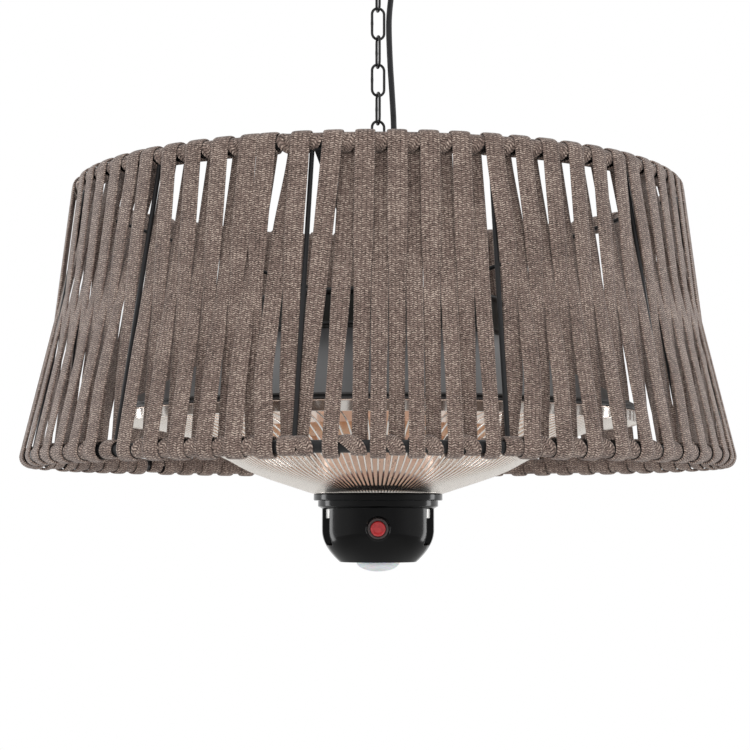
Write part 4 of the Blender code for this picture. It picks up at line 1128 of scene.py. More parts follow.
class CeilingPiece(bpy.types.Operator):
    """Ceiling plate with its two screws, the open hook and the cable's gland"""

    bl_idname = "heater.ceiling"
    bl_label = "Ceiling fitting"

    def execute(self, context):
        low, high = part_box("ceiling_plate")
        disc = spun(stepped([high.x], [high.z, low.z]))
        dress("ceiling_disc", [disc], "ceiling", "painted_black", ["ceiling_plate"])
        for side in ("left", "right"):
            self.make_screw(side)
        self.make_hook()
        seat = (*CEILING_GLAND_PLACE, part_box("ceiling_gland")[1].z + SEAT_GAP)
        dress("ceiling_strain_relief", [gland(seat, -1)], "ceiling", "cable_rubber", ["ceiling_gland"])
        return {"FINISHED"}

    def make_screw(self, side):
        """A stepped profile turned round the screw's own axis: shank, domed head and round recess."""
        low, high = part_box(f"ceiling_screw_{side}")
        centre = ((low.x + high.x) / 2, (low.y + high.y) / 2)
        radius = high.x - centre[0]
        head_top = low.z + SCREW_HEAD_HEIGHT
        recess_top = low.z + SCREW_RECESS_DEPTH
        outline = [
            (0.0, high.z),
            (SCREW_SHANK_RADIUS, high.z),
            (SCREW_SHANK_RADIUS, head_top),
            (radius, head_top),
            (radius, head_top - SCREW_HEAD_HEIGHT / 3),
            (radius * SCREW_FACE_SHARE, low.z),
            (SCREW_RECESS_RADIUS, low.z),
            (SCREW_RECESS_RADIUS * SCREW_RECESS_TAPER, recess_top),
            (0.0, recess_top),
        ]
        screw = spun(outline, FINE_EDGE, 48, centre=centre)
        dress(f"screw_{side}", [screw], "ceiling", "plain_steel", [f"ceiling_screw_{side}"])

    def make_hook(self):
        """A circle carried round most of a circle, thinned at its open end as the root of the distance
        from it, under a stepped stem turned round the axis."""
        turn = np.linspace(90.0, 90.0 + HOOK_ARC, 73)
        angle = np.radians(turn)
        height = HOOK_CENTRE_Z + HOOK_RADIUS * np.sin(angle)
        arc = np.stack([HOOK_RADIUS * np.cos(angle), 0 * angle, height], axis=-1)
        thinned = np.sqrt(np.clip((turn[-1] - turn) / HOOK_TIP_ARC, HOOK_TIP_LEAST, 1.0))
        wire = carried(arc, round_section(HOOK_WIRE / 2, 24), (0.0, 1.0, 0.0), scale=thinned)
        flange_bottom = HOOK_FLANGE_TOP - HOOK_FLANGE_THICKNESS
        bottom = HOOK_CENTRE_Z + HOOK_RADIUS - HOOK_WIRE / 4
        heights = [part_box("ceiling_hook")[1].z, HOOK_FLANGE_TOP, flange_bottom, bottom]
        stem = stepped([THREAD_RADIUS, HOOK_FLANGE_RADIUS, STEM_RADIUS], heights)
        dress("open_hook", [wire, spun(stem, EDGE, 48)], "ceiling", "painted_black", ["ceiling_hook"])


def link_line():
    """The middle line of a link in its own plane: two half circles joined by two straight runs."""
    turn = np.radians(np.linspace(0.0, 180.0, 17))
    top = np.stack([LINK_HALF_WIDTH * np.cos(turn), LINK_HALF_RUN + LINK_HALF_WIDTH * np.sin(turn)], -1)
    run = np.linspace(1.0, -1.0, 14)[1:-1]
    left = np.stack([np.full_like(run, -LINK_HALF_WIDTH), LINK_HALF_RUN * run], -1)
    return np.concatenate([top, left, -top, -left])


class ChainPiece(bpy.types.Operator):
    """Ten welded oval links, edge-on and face-on in turn. A circle is carried along a link's line, and
    swells at the weld as a bell over the height"""

    bl_idname = "heater.chain"
    bl_label = "Chain"

    def execute(self, context):
        line = link_line()
        on_weld_side = line[:, 0] < -WELD_SIDE * LINK_HALF_WIDTH
        weld = np.where(on_weld_side, np.exp(-((line[:, 1] / WELD_REACH) ** 2)), 0.0)
        for index in range(LINK_COUNT):
            azimuth = CHAIN_TURN + (0.0 if index % 2 == 0 else 90.0)
            z = FIRST_LINK_Z - index * LINK_PITCH
            path = around(line[:, 0], azimuth, z + line[:, 1])
            across = sideways(azimuth)
            wire = round_section(LINK_WIRE / 2, 14)
            link = carried(path, wire, across, scale=1 + WELD_SWELL * weld, closed=True)
            name = f"link_{index + 1:02d}"
            dress(f"welded_{name}", [link], "chain", "chain_black", [name])
        return {"FINISHED"}


class EyeboltPiece(bpy.types.Operator):
    """The eyebolt, its nut and the hub plate on the spokes' feet: a circle carried round a circle, and a
    stepped stem and a flat ring turned round the axis"""

    bl_idname = "heater.eyebolt"
    bl_label = "Eyebolt and hub plate"

    def execute(self, context):
        turn = np.radians(np.linspace(0.0, 360.0, 65)[:-1])
        eye = around(EYE_RADIUS * np.cos(turn), 0.0, EYE_CENTRE_Z + EYE_RADIUS * np.sin(turn))
        wire = carried(eye, round_section(HOOK_WIRE / 2, 20), (1.0, 0.0, 0.0), closed=True)
        top = EYE_CENTRE_Z - EYE_RADIUS + HOOK_WIRE / 4
        heights = [top, EYE_COLLAR_TOP, EYE_COLLAR_BOTTOM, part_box("eyebolt")[0].z]
        stem = stepped([STEM_RADIUS, EYE_COLLAR_RADIUS, THREAD_RADIUS], heights)
        dress("forged_eyebolt", [wire, spun(stem, EDGE, 48)], "heater", "painted_black", ["eyebolt"])
        low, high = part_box("hub_plate")
        hole = THREAD_RADIUS + SEAT_GAP
        plate = band(high.x, hole, high.z, low.z, EDGE, 72)
        dress("hub_disc", [plate], "heater", "painted_black", ["hub_plate"])
        keep_solid("eyebolt_nut", "plain_steel")
        return {"FINISHED"}


class SpokePiece(bpy.types.Operator):
    """Four flat bars, bent up from their feet under the hub plate to the top ring: a rounded rectangle
    carried along two straight lines and the parabola between them"""

    bl_idname = "heater.spokes"
    bl_label = "Spokes"

    def execute(self, context):
        foot_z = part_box("spoke_front")[0].z + SPOKE_THICKNESS / 2
        line = softened(
            [(SPOKE_FOOT_RADIUS, foot_z), (SPOKE_BEND_RADIUS, foot_z), (SPOKE_END_RADIUS, SPOKE_END_Z)],
            SPOKE_BEND,
            9,
        )
        section = plate_section(SPOKE_WIDTH, SPOKE_THICKNESS, SPOKE_ROUNDING)
        for index, side in enumerate(("front", "right", "back", "left")):
            azimuth = SPOKE_AZIMUTH + index * 360.0 / SPOKE_COUNT
            path = around(line[:, 0], azimuth, line[:, 1])
            bar = carried(path, section, sideways(azimuth))
            dress(f"flat_bar_{side}", [bar], "heater", "painted_black", [f"spoke_{side}"])
        return {"FINISHED"}


def ring(radius, z, wide, high, steps=192, sides=24):
    """A ring of an elliptical section."""
    outline = round_section(wide, sides, high) + (radius, z)
    return turned(outline, steps, closed=True)


class ShadeFramePiece(bpy.types.Operator):
    """The welded shade frame: two rings, and twelve struts that lean a little round. Circles are carried
    round the rings and straight from one ring's middle line to the other's"""

    bl_idname = "heater.shade_frame"
    bl_label = "Shade frame"

    def execute(self, context):
        tube = RING_TUBE / 2
        patches = [
            ring(TOP_RING_RADIUS, top_ring_z, tube, tube),
            ring(BOTTOM_RING_RADIUS, bottom_ring_z, tube, tube),
        ]
        for index in range(STRUT_COUNT):
            azimuth = FIRST_STRUT_AZIMUTH + index * BAY_ANGLE
            top = around(TOP_RING_RADIUS, azimuth + STRUT_LEAN / 2, top_ring_z)
            bottom = around(BOTTOM_RING_RADIUS, azimuth - STRUT_LEAN / 2, bottom_ring_z)
            path = np.linspace(top, bottom, 7)
            across = sideways(azimuth)
            patches.append(carried(path, round_section(STRUT_DIAMETER / 2, 14), across))
        dress("welded_frame", patches, "heater", "painted_black", ["shade_frame"])
        return {"FINISHED"}


def winding_runs(bay, shade):
    """The azimuth of each run of a bay's winding at the top and at the bottom, counted from the bay's
    middle, and how far each is pushed aside by the strut at mid-height. Runs stand at even spacings, plus
    the bay's lean, and the last ones are shifted by a share that fades to nought over a few runs."""
    short = bay in SHORT_BAYS
    runs = 2 * (SHORT_BAY_TURNS if short else FULL_BAY_TURNS)
    place = (runs - 1) / 2 - np.arange(runs)
    if short:
        top, bottom = place * shade.spacing + SHORT_TOP_LEAN, place * shade.spacing + SHORT_BOTTOM_LEAN
        pull = LAST_RUN_PULL["short"]
        bottom[-2] += NEXT_RUN_PULL
    else:
        top = place * shade.top_spacing + FULL_TOP_LEAN
        bottom = place * shade.bottom_spacing + FULL_BOTTOM_LEAN
        pull = LAST_RUN_PULL["mirrored" if bay in MIRRORED_BAYS else "full"]
    top[-1] += pull[0]
    bottom[-1] += pull[1]
    fading = np.clip(1 - np.arange(runs)[::-1] / PUSH_RUNS, 0.0, 1.0)
    push = np.zeros(runs)
    if bay in MIRRORED_BAYS and not short:
        push = MIRRORED_PUSH * np.append(fading[1:] ** 2, LAST_SHARE)
        bottom[:-1] += MIRRORED_SHIFT * np.clip(1 - np.arange(runs - 1)[::-1] / SHIFT_RUNS, 0.0, 1.0)
    elif not short:
        push = STRUT_PUSH * fading
    if bay == STRUT_COUNT - 1:
        top[-3] += WIDE_GAP
    return top, bottom, push


def tangent_angles():
    """The angles, seen along the rings, at which a run leaves the one ring's outside in the second layer
    and meets the other ring's inside in the first: for the falling run and for the rising one."""
    out, down = BOTTOM_RING_RADIUS - TOP_RING_RADIUS, bottom_ring_z - top_ring_z
    lean = math.degrees(math.atan2(down, out))
    crossing = 90.0 - math.degrees(math.asin((FIRST_LAYER + SECOND_LAYER) / math.hypot(out, down)))
    return lean + crossing, lean + 180.0 - crossing


def wrap(start, end, first, second, at_top, bulge=0.0):
    """One and a half times round a ring, as radius, height and azimuth: the first layer, a step sideways
    under the ring and behind it, then the second layer. Angles are nought outside and 90 on top. A bulge
    carries the first layer further aside where it shows, as a bell over the angle."""
    angle = np.linspace(start, end, WRAP_STEPS)
    from_front = angle if at_top else 360.0 - angle
    aside = level((SHIFT_START - from_front) / SHIFT_SPAN)
    further = bulge * np.exp(-(((from_front - BULGE_MIDDLE) / BULGE_REACH) ** 2))
    layer = level((LAYER_START - from_front) / LAYER_SPAN)
    reach = FIRST_LAYER + (SECOND_LAYER - FIRST_LAYER) * layer
    turn = np.radians(angle)
    ring_radius, ring_z = (TOP_RING_RADIUS, top_ring_z) if at_top else (BOTTOM_RING_RADIUS, bottom_ring_z)
    return np.stack(
        [
            ring_radius + reach * np.cos(turn),
            ring_z + reach * np.sin(turn),
            first + (second - first) * aside + further,
        ],
        axis=-1,
    )


def run_between(start, end, push):
    """A straight run between two rings, pushed aside where it passes a strut: the push comes in level from
    the top and goes out level at the bottom."""
    share = np.linspace(0.0, 1.0, RUN_STEPS + 1)[1:-1, None]
    line = start + (end - start) * share
    from_top = share[:, 0] if start[1] > end[1] else 1 - share[:, 0]
    line[:, 2] += push * level(from_top / PUSH_TOP_SHARE) * level((1 - from_top) / PUSH_BOTTOM_SHARE)
    return line


def winding_line(bay, shade):
    """The middle line of one bay's strap, as radius, height and azimuth, and its width's share at each
    point. Straight runs and wraps follow each other. A run is pinched at mid-height to the room between
    its neighbours, spread towards the top ring and, in the front bay, drawn in towards the bottom."""
    top, bottom, push = winding_runs(bay, shade)
    falling, rising = tangent_angles()
    runs = len(top)
    gaps = np.abs(np.diff((top + bottom) / 2 + push))
    drawn_in = FRONT_NARROWING if bay == 0 else 0.0
    lines, widths = [], []

    def put(line, wider):
        """Adds a stretch of line whose width is one and a share, or a share for each point."""
        lines.append(line)
        widths.append(np.broadcast_to(1.0 + wider, len(line)))

    def under_ring(first, second, bulge=0.0):
        """The wrap round the bottom ring from one azimuth to another."""
        return wrap(180.0 + falling, 720.0 + rising, first, second, False, bulge)

    put(under_ring(bottom[0], bottom[0])[int(WRAP_STEPS * START_SHARE) :], -drawn_in)
    for run in range(0, runs, 2):
        is_last = run == runs - 2
        bulge = LAST_BULGE if bay == STRUT_COUNT - 1 and is_last else 0.0
        over = wrap(180.0 + rising, falling - 360.0, top[run], top[run + 1], True, bulge)
        if is_last:
            under = under_ring(bottom[-1], bottom[-1], END_BULGE if bay in SHORT_BAYS else 0.0)
            under = under[: int(WRAP_STEPS * END_SHARE)]
        else:
            under = under_ring(bottom[run + 1], bottom[run + 2])
        for number, start, end in ((run, lines[-1][-1], over[0]), (run + 1, over[-1], under[0])):
            line = run_between(start, end, push[number])
            beside = math.radians(gaps[max(0, number - 1) : number + 1].min())
            room = max(beside * line[len(line) // 2, 0] - EDGE_GAP, LEAST_WIDTH * shade.strap_width)
            narrow = min(0.0, room / shade.strap_width - 1.0)
            height = line[:, 1] - (top_ring_z + bottom_ring_z) / 2
            pinched = narrow * level(PINCH_LEVEL - np.abs(height) / PINCH_REACH)
            spread_out = TOP_SPREAD * level(height / SPREAD_REACH)
            put(line, pinched + spread_out - drawn_in * level(-height / SPREAD_REACH))
            if number == run:
                put(over, TOP_SPREAD)
            else:
                put(under, -drawn_in)
    return np.concatenate(lines), np.concatenate(widths)


def strap_section(width, thickness):
    """A flat oval: half the width times a power of a turn's cosine, and half the thickness times a power
    of its sine."""
    turn = 2 * np.pi * np.arange(STRAP_STEPS) / STRAP_STEPS
    c, s = np.cos(turn), np.sin(turn)
    x = width / 2 * np.sign(c) * np.abs(c) ** STRAP_SIDE_POWER
    y = thickness / 2 * np.sign(s) * np.abs(s) ** STRAP_FACE_POWER
    return np.stack([x, y], axis=-1)


class WindingPiece(bpy.types.Operator):
    """Twelve windings of woven strap, one in each bay, in a figure of eight between the two rings: a flat
    oval carried along each bay's middle line"""

    bl_idname = "heater.windings"
    bl_label = "Strap windings"

    def execute(self, context):
        shade = context.scene.heater_shade
        section = strap_section(shade.strap_width, shade.strap_thickness)
        for bay in range(STRUT_COUNT):
            line, widths = winding_line(bay, shade)
            side = -1.0 if bay in MIRRORED_BAYS else 1.0
            azimuth = BAY_START + (bay + 0.5) * BAY_ANGLE + side * line[:, 2]
            path = around(line[:, 0], azimuth, line[:, 1])
            steps = np.linalg.norm(np.diff(path, axis=0), axis=1)
            along = np.concatenate([[0.0], np.cumsum(steps)])
            u = np.broadcast_to(section[None, :, 0] + shade.strap_width, (len(path), STRAP_STEPS))
            v = np.broadcast_to(along[:, None] + PATTERN_SHIFT * bay, u.shape)
            uv = np.stack([u, v], axis=-1)
            scale = np.stack([widths, np.ones_like(widths)], axis=-1)
            straps = [carried(path, section, sideways(azimuth), scale=scale, uv=uv)]
            if bay == STRUT_COUNT - 1:
                straps.append(self.strut_cover(section, u[: COVER_STEPS + 1]))
            name = f"winding_{bay + 1:02d}"
            dress(f"strap_{name}", straps, "heater", "woven_strap", [name], STRAP_SHARP_ANGLE)
        return {"FINISHED"}

    def strut_cover(self, section, u):
        """The strap's tail, which goes once over the top ring beside the front strut's head and steps aside
        behind it."""
        angle = np.linspace(COVER_START, COVER_END, COVER_STEPS + 1)
        turn = np.radians(angle)
        azimuth = COVER_AZIMUTH - COVER_SHIFT * level((COVER_MIDDLE - angle) / COVER_SPAN)
        radius = TOP_RING_RADIUS + FIRST_LAYER * np.cos(turn)
        path = around(radius, azimuth, top_ring_z + FIRST_LAYER * np.sin(turn))
        v = np.broadcast_to(np.radians(COVER_START - angle)[:, None] * FIRST_LAYER, u.shape)
        return carried(path, section, sideways(azimuth), uv=np.stack([u, v], axis=-1))


class CapPiece(bpy.types.Operator):
    """The cap with its two rolled black rims, its gland and the terminal block inside: a thin outline and
    two ellipses turned round the axis"""

    bl_idname = "heater.cap"
    bl_label = "Cap"

    def execute(self, context):
        low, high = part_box("cap")
        hole = THREAD_RADIUS + SEAT_GAP
        lip = CAP_RADIUS + CAP_LIP
        outer = [
            (hole, high.z),
            (CAP_RADIUS, high.z),
            (CAP_RADIUS, low.z + CAP_LIP_HEIGHT),
            (lip, low.z + CAP_LIP_HEIGHT / 2),
            (lip, low.z),
        ]
        inner = [
            (lip - SHEET, low.z),
            (CAP_RADIUS - SHEET, low.z + CAP_LIP_HEIGHT),
            (CAP_RADIUS - SHEET, high.z - SHEET),
            (hole, high.z - SHEET),
        ]
        shell = spun(outer + inner, FINE_EDGE, 128, closed=True)
        dress("cap_shell", [shell], "heater", "cap_paint", ["cap"])
        rims = (
            ("top", CAP_RADIUS - CAP_TOP_BEAD_INSET, high.z - SEAT_GAP - CAP_BEAD_HEIGHT),
            ("bottom", CAP_RADIUS - CAP_BOTTOM_BEAD_INSET, low.z + CAP_BEAD_HEIGHT),
        )
        for name, radius, z in rims:
            bead = ring(radius, z, CAP_BEAD_WIDTH, CAP_BEAD_HEIGHT, 160)
            dress(f"cap_rim_{name}", [bead], "heater", "painted_black")
        seat = around(CAP_GLAND_RADIUS, CAP_GLAND_AZIMUTH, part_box("cap_gland")[0].z - SEAT_GAP)
        dress("cap_strain_relief", [gland(tuple(seat), 1)], "heater", "cable_rubber", ["cap_gland"])
        keep_solid("terminal_block", "terminal_white")
        return {"FINISHED"}


class HoodPiece(bpy.types.Operator):
    """The grey conical hood with its rim bead, whose black is painted shade for the shadow line at the
    rim: a thin outline and a circle turned round the axis
    """

    bl_idname = "heater.hood"
    bl_label = "Hood"

    def execute(self, context):
        low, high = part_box("hood")
        rim_top = low.z + 2 * HOOD_BEAD_RADIUS
        cone = [
            (HOOD_HOLE_RADIUS, high.z),
            (HOOD_TOP_RADIUS, high.z),
            (HOOD_RIM_RADIUS - SEAT_GAP, rim_top),
            (HOOD_RIM_RADIUS - SEAT_GAP, low.z + SEAT_GAP),
            (HOOD_RIM_RADIUS - SHEET, low.z + SEAT_GAP),
            (HOOD_RIM_RADIUS - SHEET, rim_top),
            (HOOD_TOP_RADIUS - FINE_EDGE, high.z - SHEET),
            (HOOD_HOLE_RADIUS, high.z - SHEET),
        ]
        shell = spun(cone, FINE_EDGE, 160, closed=True)
        dress("hood_cone", [shell], "heater", "hood_paint", ["hood"])
        # The bead's black is painted shade for the shadow line at the hood's rim
        centre = HOOD_RIM_RADIUS - HOOD_BEAD_RADIUS
        bead = ring(centre, low.z + HOOD_BEAD_RADIUS, HOOD_BEAD_RADIUS, HOOD_BEAD_RADIUS, 192, 16)
        dress("hood_rim_shadow_bead", [bead], "heater", "painted_black")
        return {"FINISHED"}


class ReflectorPiece(bpy.types.Operator):
    """The polished reflector under the hood, and the column in the middle, whose sheet is tinted with a
    painted reflection of the tube's glow and whose foot is a black band of painted shade: thin outlines
    turned round the axis"""

    bl_idname = "heater.reflector"
    bl_label = "Reflector and column"

    def execute(self, context):
        low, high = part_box("reflector")
        inner = COLUMN_RADIUS + SEAT_GAP
        lip = HOOD_RIM_RADIUS - REFLECTOR_LIP
        lip_top = low.z + REFLECTOR_SHEET
        dish = [
            (inner, high.z),
            (REFLECTOR_FLAT_RADIUS, high.z),
            (lip, lip_top),
            (HOOD_RIM_RADIUS, lip_top),
            (HOOD_RIM_RADIUS, low.z),
            (lip - FINE_EDGE, low.z),
            (REFLECTOR_FLAT_RADIUS - FINE_EDGE, high.z - REFLECTOR_SHEET),
            (inner, high.z - REFLECTOR_SHEET),
        ]
        shell = spun(dish, REFLECTOR_ROUNDING, 160, closed=True)
        dress("reflector_dish", [shell], "heater", "bright_mirror", ["reflector"])
        low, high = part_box("column")
        foot_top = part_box("grille")[0].z + HUB_THICKNESS + COLUMN_FOOT
        stretches = (
            # The column's sheet carries a painted reflection of the tube's glow
            ("column_shell", high.z, foot_top, "mirror_painted_glow", ["column"], "polished_steel"),
            # A black band of painted shade at the column's foot, for the dark gap above the hub
            ("column_shade_band", foot_top, low.z, "painted_black", [], "painted_black"),
        )
        for name, top, bottom, finish_name, stands_for, slot in stretches:
            shell = band(COLUMN_RADIUS, COLUMN_RADIUS - SHEET, top, bottom, FINE_EDGE, 128)
            dress(name, [shell], "heater", finish_name, stands_for)
        return {"FINISHED"}


def tube_line(steps):
    """The heating tube's middle line: a ring open at the back whose ends run on straight."""
    z = (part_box("heating_tube")[0].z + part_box("heating_tube")[1].z) / 2
    azimuth = np.linspace(-TUBE_SWEEP, TUBE_SWEEP, steps)
    arc = around(TUBE_RING_RADIUS, azimuth, z)
    first = arc[0] + TUBE_END_RUN * around(1.0, -TUBE_SWEEP - 90.0, 0.0)
    last = arc[-1] + TUBE_END_RUN * around(1.0, TUBE_SWEEP + 90.0, 0.0)
    return np.concatenate([[first], arc, [last]])


class HeatingTubePiece(bpy.types.Operator):
    """The amber quartz tube with its resistance coil, two ceramic ends and two wire clips. The tube is a
    circle carried along an open ring, and the coil is a circle carried along a helix round that ring"""

    bl_idname = "heater.heating_tube"
    bl_label = "Heating tube"

    def execute(self, context):
        line = tube_line(97)
        up = (0.0, 0.0, 1.0)
        glass = [
            carried(line, round_section(TUBE_RADIUS, 24), up),
            carried(line, round_section(TUBE_RADIUS - TUBE_WALL, 24), up, inside=True),
        ]
        dress("quartz_tube", glass, "heater", "amber_quartz", ["heating_tube"])
        count = COIL_TURNS * COIL_TURN_STEPS
        azimuth = np.linspace(-TUBE_SWEEP, TUBE_SWEEP, count)
        turn = 2 * np.pi * np.arange(count) / COIL_TURN_STEPS
        radius = TUBE_RING_RADIUS + COIL_RADIUS * np.cos(turn)
        helix = around(radius, azimuth, line[0, 2] + COIL_RADIUS * np.sin(turn))
        middle = around(TUBE_RING_RADIUS, azimuth, line[0, 2])
        coil = carried(helix, round_section(COIL_WIRE_RADIUS, 5), helix - middle)
        dress("resistance_coil", [coil], "heater", "coil_wire")
        for side, sign in (("left", -1.0), ("right", 1.0)):
            self.make_end(side, sign, line)
            self.make_clip(side, sign, line[0, 2])
        return {"FINISHED"}

    def make_end(self, side, sign, line):
        """A rounded block beyond the tube's tip, and a round post up from it to the reflector."""
        onward = around(1.0, sign * (TUBE_SWEEP + 90.0), 0.0)
        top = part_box(f"tube_end_{side}")[1].z
        tip = line[-1] if sign > 0 else line[0]
        centre = tip + (SEAT_GAP + CERAMIC_SIZE[0] / 2) * onward
        body = block(CERAMIC_SIZE, centre, sign * TUBE_SWEEP, CERAMIC_ROUNDING)
        foot = centre[2] + CERAMIC_SIZE[2] / 2 - CERAMIC_ROUNDING
        post = turned(stepped([POST_RADIUS], [top, foot]), 32, centre=centre[:2])
        dress(f"ceramic_end_{side}", [body, post], "heater", "ceramic", [f"tube_end_{side}"])

    def make_clip(self, side, sign, z):
        """A circle carried round the tube, and straight up from it."""
        azimuth = sign * CLIP_AZIMUTH
        radius = TUBE_RADIUS + SEAT_GAP + CLIP_WIRE / 2
        turn = np.radians(np.linspace(0.0, 360.0, 41)[:-1])
        loop = around(TUBE_RING_RADIUS + radius * np.cos(turn), azimuth, z + radius * np.sin(turn))
        wire = round_section(CLIP_WIRE / 2, 12)
        across = sideways(azimuth)
        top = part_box(f"tube_clip_{side}")[1].z
        stem = around(TUBE_RING_RADIUS, azimuth, np.linspace(z + radius, top, 6))
        patches = [carried(loop, wire, across, closed=True), carried(stem, wire, across)]
        dress(f"wire_clip_{side}", patches, "heater", "plain_steel", [f"tube_clip_{side}"])


class GrillePiece(bpy.types.Operator):
    """The dished grille: a circle carried along a smooth line from the hub to the rim for each wire, and
    two rounded rectangles turned round the axis for the flat hub ring and the deep rim band"""

    bl_idname = "heater.grille"
    bl_label = "Grille"

    def execute(self, context):
        wires = context.scene.heater_body.grille_wires
        line = through(GRILLE_OUTLINE, GRILLE_STEPS)
        section = round_section(GRILLE_WIRE / 2, 6)
        patches = []
        for index in range(wires):
            azimuth = 360.0 * index / wires
            path = around(line[:, 0], azimuth, line[:, 1])
            patches.append(carried(path, section, sideways(azimuth)))
        dress("grille_wires", patches, "heater", "polished_steel", ["grille"], WIRE_SHARP_ANGLE)
        low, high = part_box("grille")
        rim = plate_section(GRILLE_RIM_THICKNESS, high.z - line[-1, 1] + GRILLE_WIRE, FINE_EDGE)
        rim = rim + (GRILLE_RIM_RADIUS, (high.z + line[-1, 1] - GRILLE_WIRE) / 2)
        hub = plate_section(HUB_OUTER_RADIUS - HUB_INNER_RADIUS, HUB_THICKNESS, FINE_EDGE)
        hub = hub + ((HUB_OUTER_RADIUS + HUB_INNER_RADIUS) / 2, low.z + HUB_THICKNESS / 2)
        bands = [turned(rim, 192, closed=True), turned(hub, 128, closed=True)]
        dress("grille_bands", bands, "heater", "polished_steel")
        return {"FINISHED"}


def box_outline(inset):
    """The control box's wall from its top edge to the lens hole, moved inwards by an inset. Under the
    straight part its radius falls with the square of the drop."""
    low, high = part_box("control_box")
    share = np.linspace(0.0, 1.0, BOX_ROWS)
    drop = BOX_CURVE_TOP - low.z
    curve_radius = BOX_BASE_RADIUS + (BOX_RADIUS - BOX_BASE_RADIUS) * (1 - share**2)
    curve = np.stack([curve_radius, BOX_CURVE_TOP - share * drop], axis=-1)
    straight = np.linspace(BOX_SHOULDER_BOTTOM, BOX_CURVE_TOP, WALL_ROWS)[1:-1]
    wall = np.concatenate([np.stack([np.full_like(straight, BOX_RADIUS), straight], axis=-1), curve])
    collar = [
        (BOX_COLLAR_RADIUS, high.z),
        (BOX_COLLAR_RADIUS, BOX_SHOULDER_TOP),
        (BOX_RADIUS, BOX_SHOULDER_BOTTOM),
    ]
    base = [(BOX_BASE_RADIUS - BOX_BASE_BEND, low.z), (LENS_HOLE_RADIUS, low.z)]
    outline = np.concatenate([collar, wall, base])
    outline[:, 0] -= inset * (outline[:, 0] > LENS_HOLE_RADIUS)
    outline[:, 1] = np.where(outline[:, 1] < low.z + inset, low.z + inset, outline[:, 1])
    return outline


def wall_radius(z):
    """The control box's outer radius at a height on its wall."""
    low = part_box("control_box")[0].z
    share = np.clip((BOX_CURVE_TOP - z) / (BOX_CURVE_TOP - low), 0.0, 1.0)
    return BOX_BASE_RADIUS + (BOX_RADIUS - BOX_BASE_RADIUS) * (1 - share**2)


class ControlBoxPiece(bpy.types.Operator):
    """The gloss black control box with its flange, side pockets and clips, and the boards inside"""

    bl_idname = "heater.control_box"
    bl_label = "Control box"

    def execute(self, context):
        low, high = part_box("control_flange")
        plate = band(FLANGE_RADIUS, FLANGE_HOLE_RADIUS, high.z, low.z, FLANGE_ROUNDING, 128, bend_steps=7)
        dress("flange_disc", [plate], "heater", "gloss_black", ["control_flange"])
        shell = new_object("control_shell", [self.shell()], BOX_SHARP_ANGLE)
        start, end = BUTTON_HOLE_REACH
        path = np.linspace((0.0, start, BUTTON_Z), (0.0, end, BUTTON_Z), 3)
        hole = carried(path, round_section(BEZEL_BARREL + BEZEL_CLEARANCE, 48), (1.0, 0.0, 0.0))
        cut(shell, new_object("button_hole", [hole]))
        shell.data.materials.append(finish("gloss_black"))
        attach(shell, "heater")
        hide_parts("control_box")
        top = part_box("side_clip_left")[1].z
        for side, sign in (("left", -1.0), ("right", 1.0)):
            centre = around(SIDE_CLIP_RADIUS, sign * POCKET_AZIMUTH, top - SIDE_CLIP_SIZE[2] / 2)
            clip = block(SIDE_CLIP_SIZE, centre, sign * POCKET_AZIMUTH, FINE_EDGE)
            dress(f"spring_clip_{side}", [clip], "heater", "plain_steel", [f"side_clip_{side}"])
        keep_solid("circuit_board", "board_green")
        keep_solid("lamp_board", "board_green")
        return {"FINISHED"}

    def shell(self):
        """The wall turned round its axis, and pressed in to a set radius over the two side pockets. The
        press fades out over a pocket's edge as 3s² - 2s³ of the distance past it."""
        outer = softened(box_outline(0.0), EDGE, 4)
        inner = softened(box_outline(BOX_WALL), FINE_EDGE, 4)[::-1]
        outline = np.concatenate([outer, inner])
        half = math.degrees(POCKET_WIDTH / 2 / BOX_RADIUS)
        edge = math.degrees(POCKET_EDGE / BOX_RADIUS)
        across_edge = edge * np.linspace(-POCKET_EDGE_REACH, POCKET_EDGE_REACH, POCKET_EDGE_STEPS)
        near = np.concatenate([POCKET_AZIMUTH + side * half + across_edge for side in (-1, 1)])
        even = np.linspace(-180.0, 180.0, BOX_STEPS + 1)[:-1]
        azimuth = np.unique(np.concatenate([even, near, -near]))
        z = outline[:, 1:]
        beside = (half - np.abs(np.abs(azimuth) - POCKET_AZIMUTH)) / edge
        above = (POCKET_TOP - z) / POCKET_EDGE
        below = (z - POCKET_BOTTOM) / POCKET_EDGE
        mask = level(beside / 2 + 0.5)[None, :] * level(above / 2 + 0.5) * level(below / 2 + 0.5)
        pressed = np.minimum(outline[:, :1], POCKET_FLOOR_RADIUS)
        count = len(outer)
        pressed[count:] -= BOX_WALL * (outline[count:, :1] > POCKET_FLOOR_RADIUS - BOX_WALL)
        radius = outline[:, :1] * (1 - mask) + np.minimum(pressed, outline[:, :1]) * mask
        return {
            "points": around(radius, azimuth[None, :], z),
            "rows_closed": True,
            "columns_closed": True,
        }


def cut(made, cutter):
    """One object less another, which is then removed."""
    modifier = made.modifiers.new("cut", "BOOLEAN")
    modifier.object = cutter
    modifier.solver = "EXACT"
    shape = made.evaluated_get(bpy.context.evaluated_depsgraph_get())
    whole = bpy.data.meshes.new_from_object(shape)
    made.modifiers.clear()
    made.data = whole
    bpy.data.objects.remove(cutter)


def behind(front, face):
    """A face's outline as radii and places along Y, from its distances behind a front."""
    return [(radius, front + depth) for radius, depth in face]


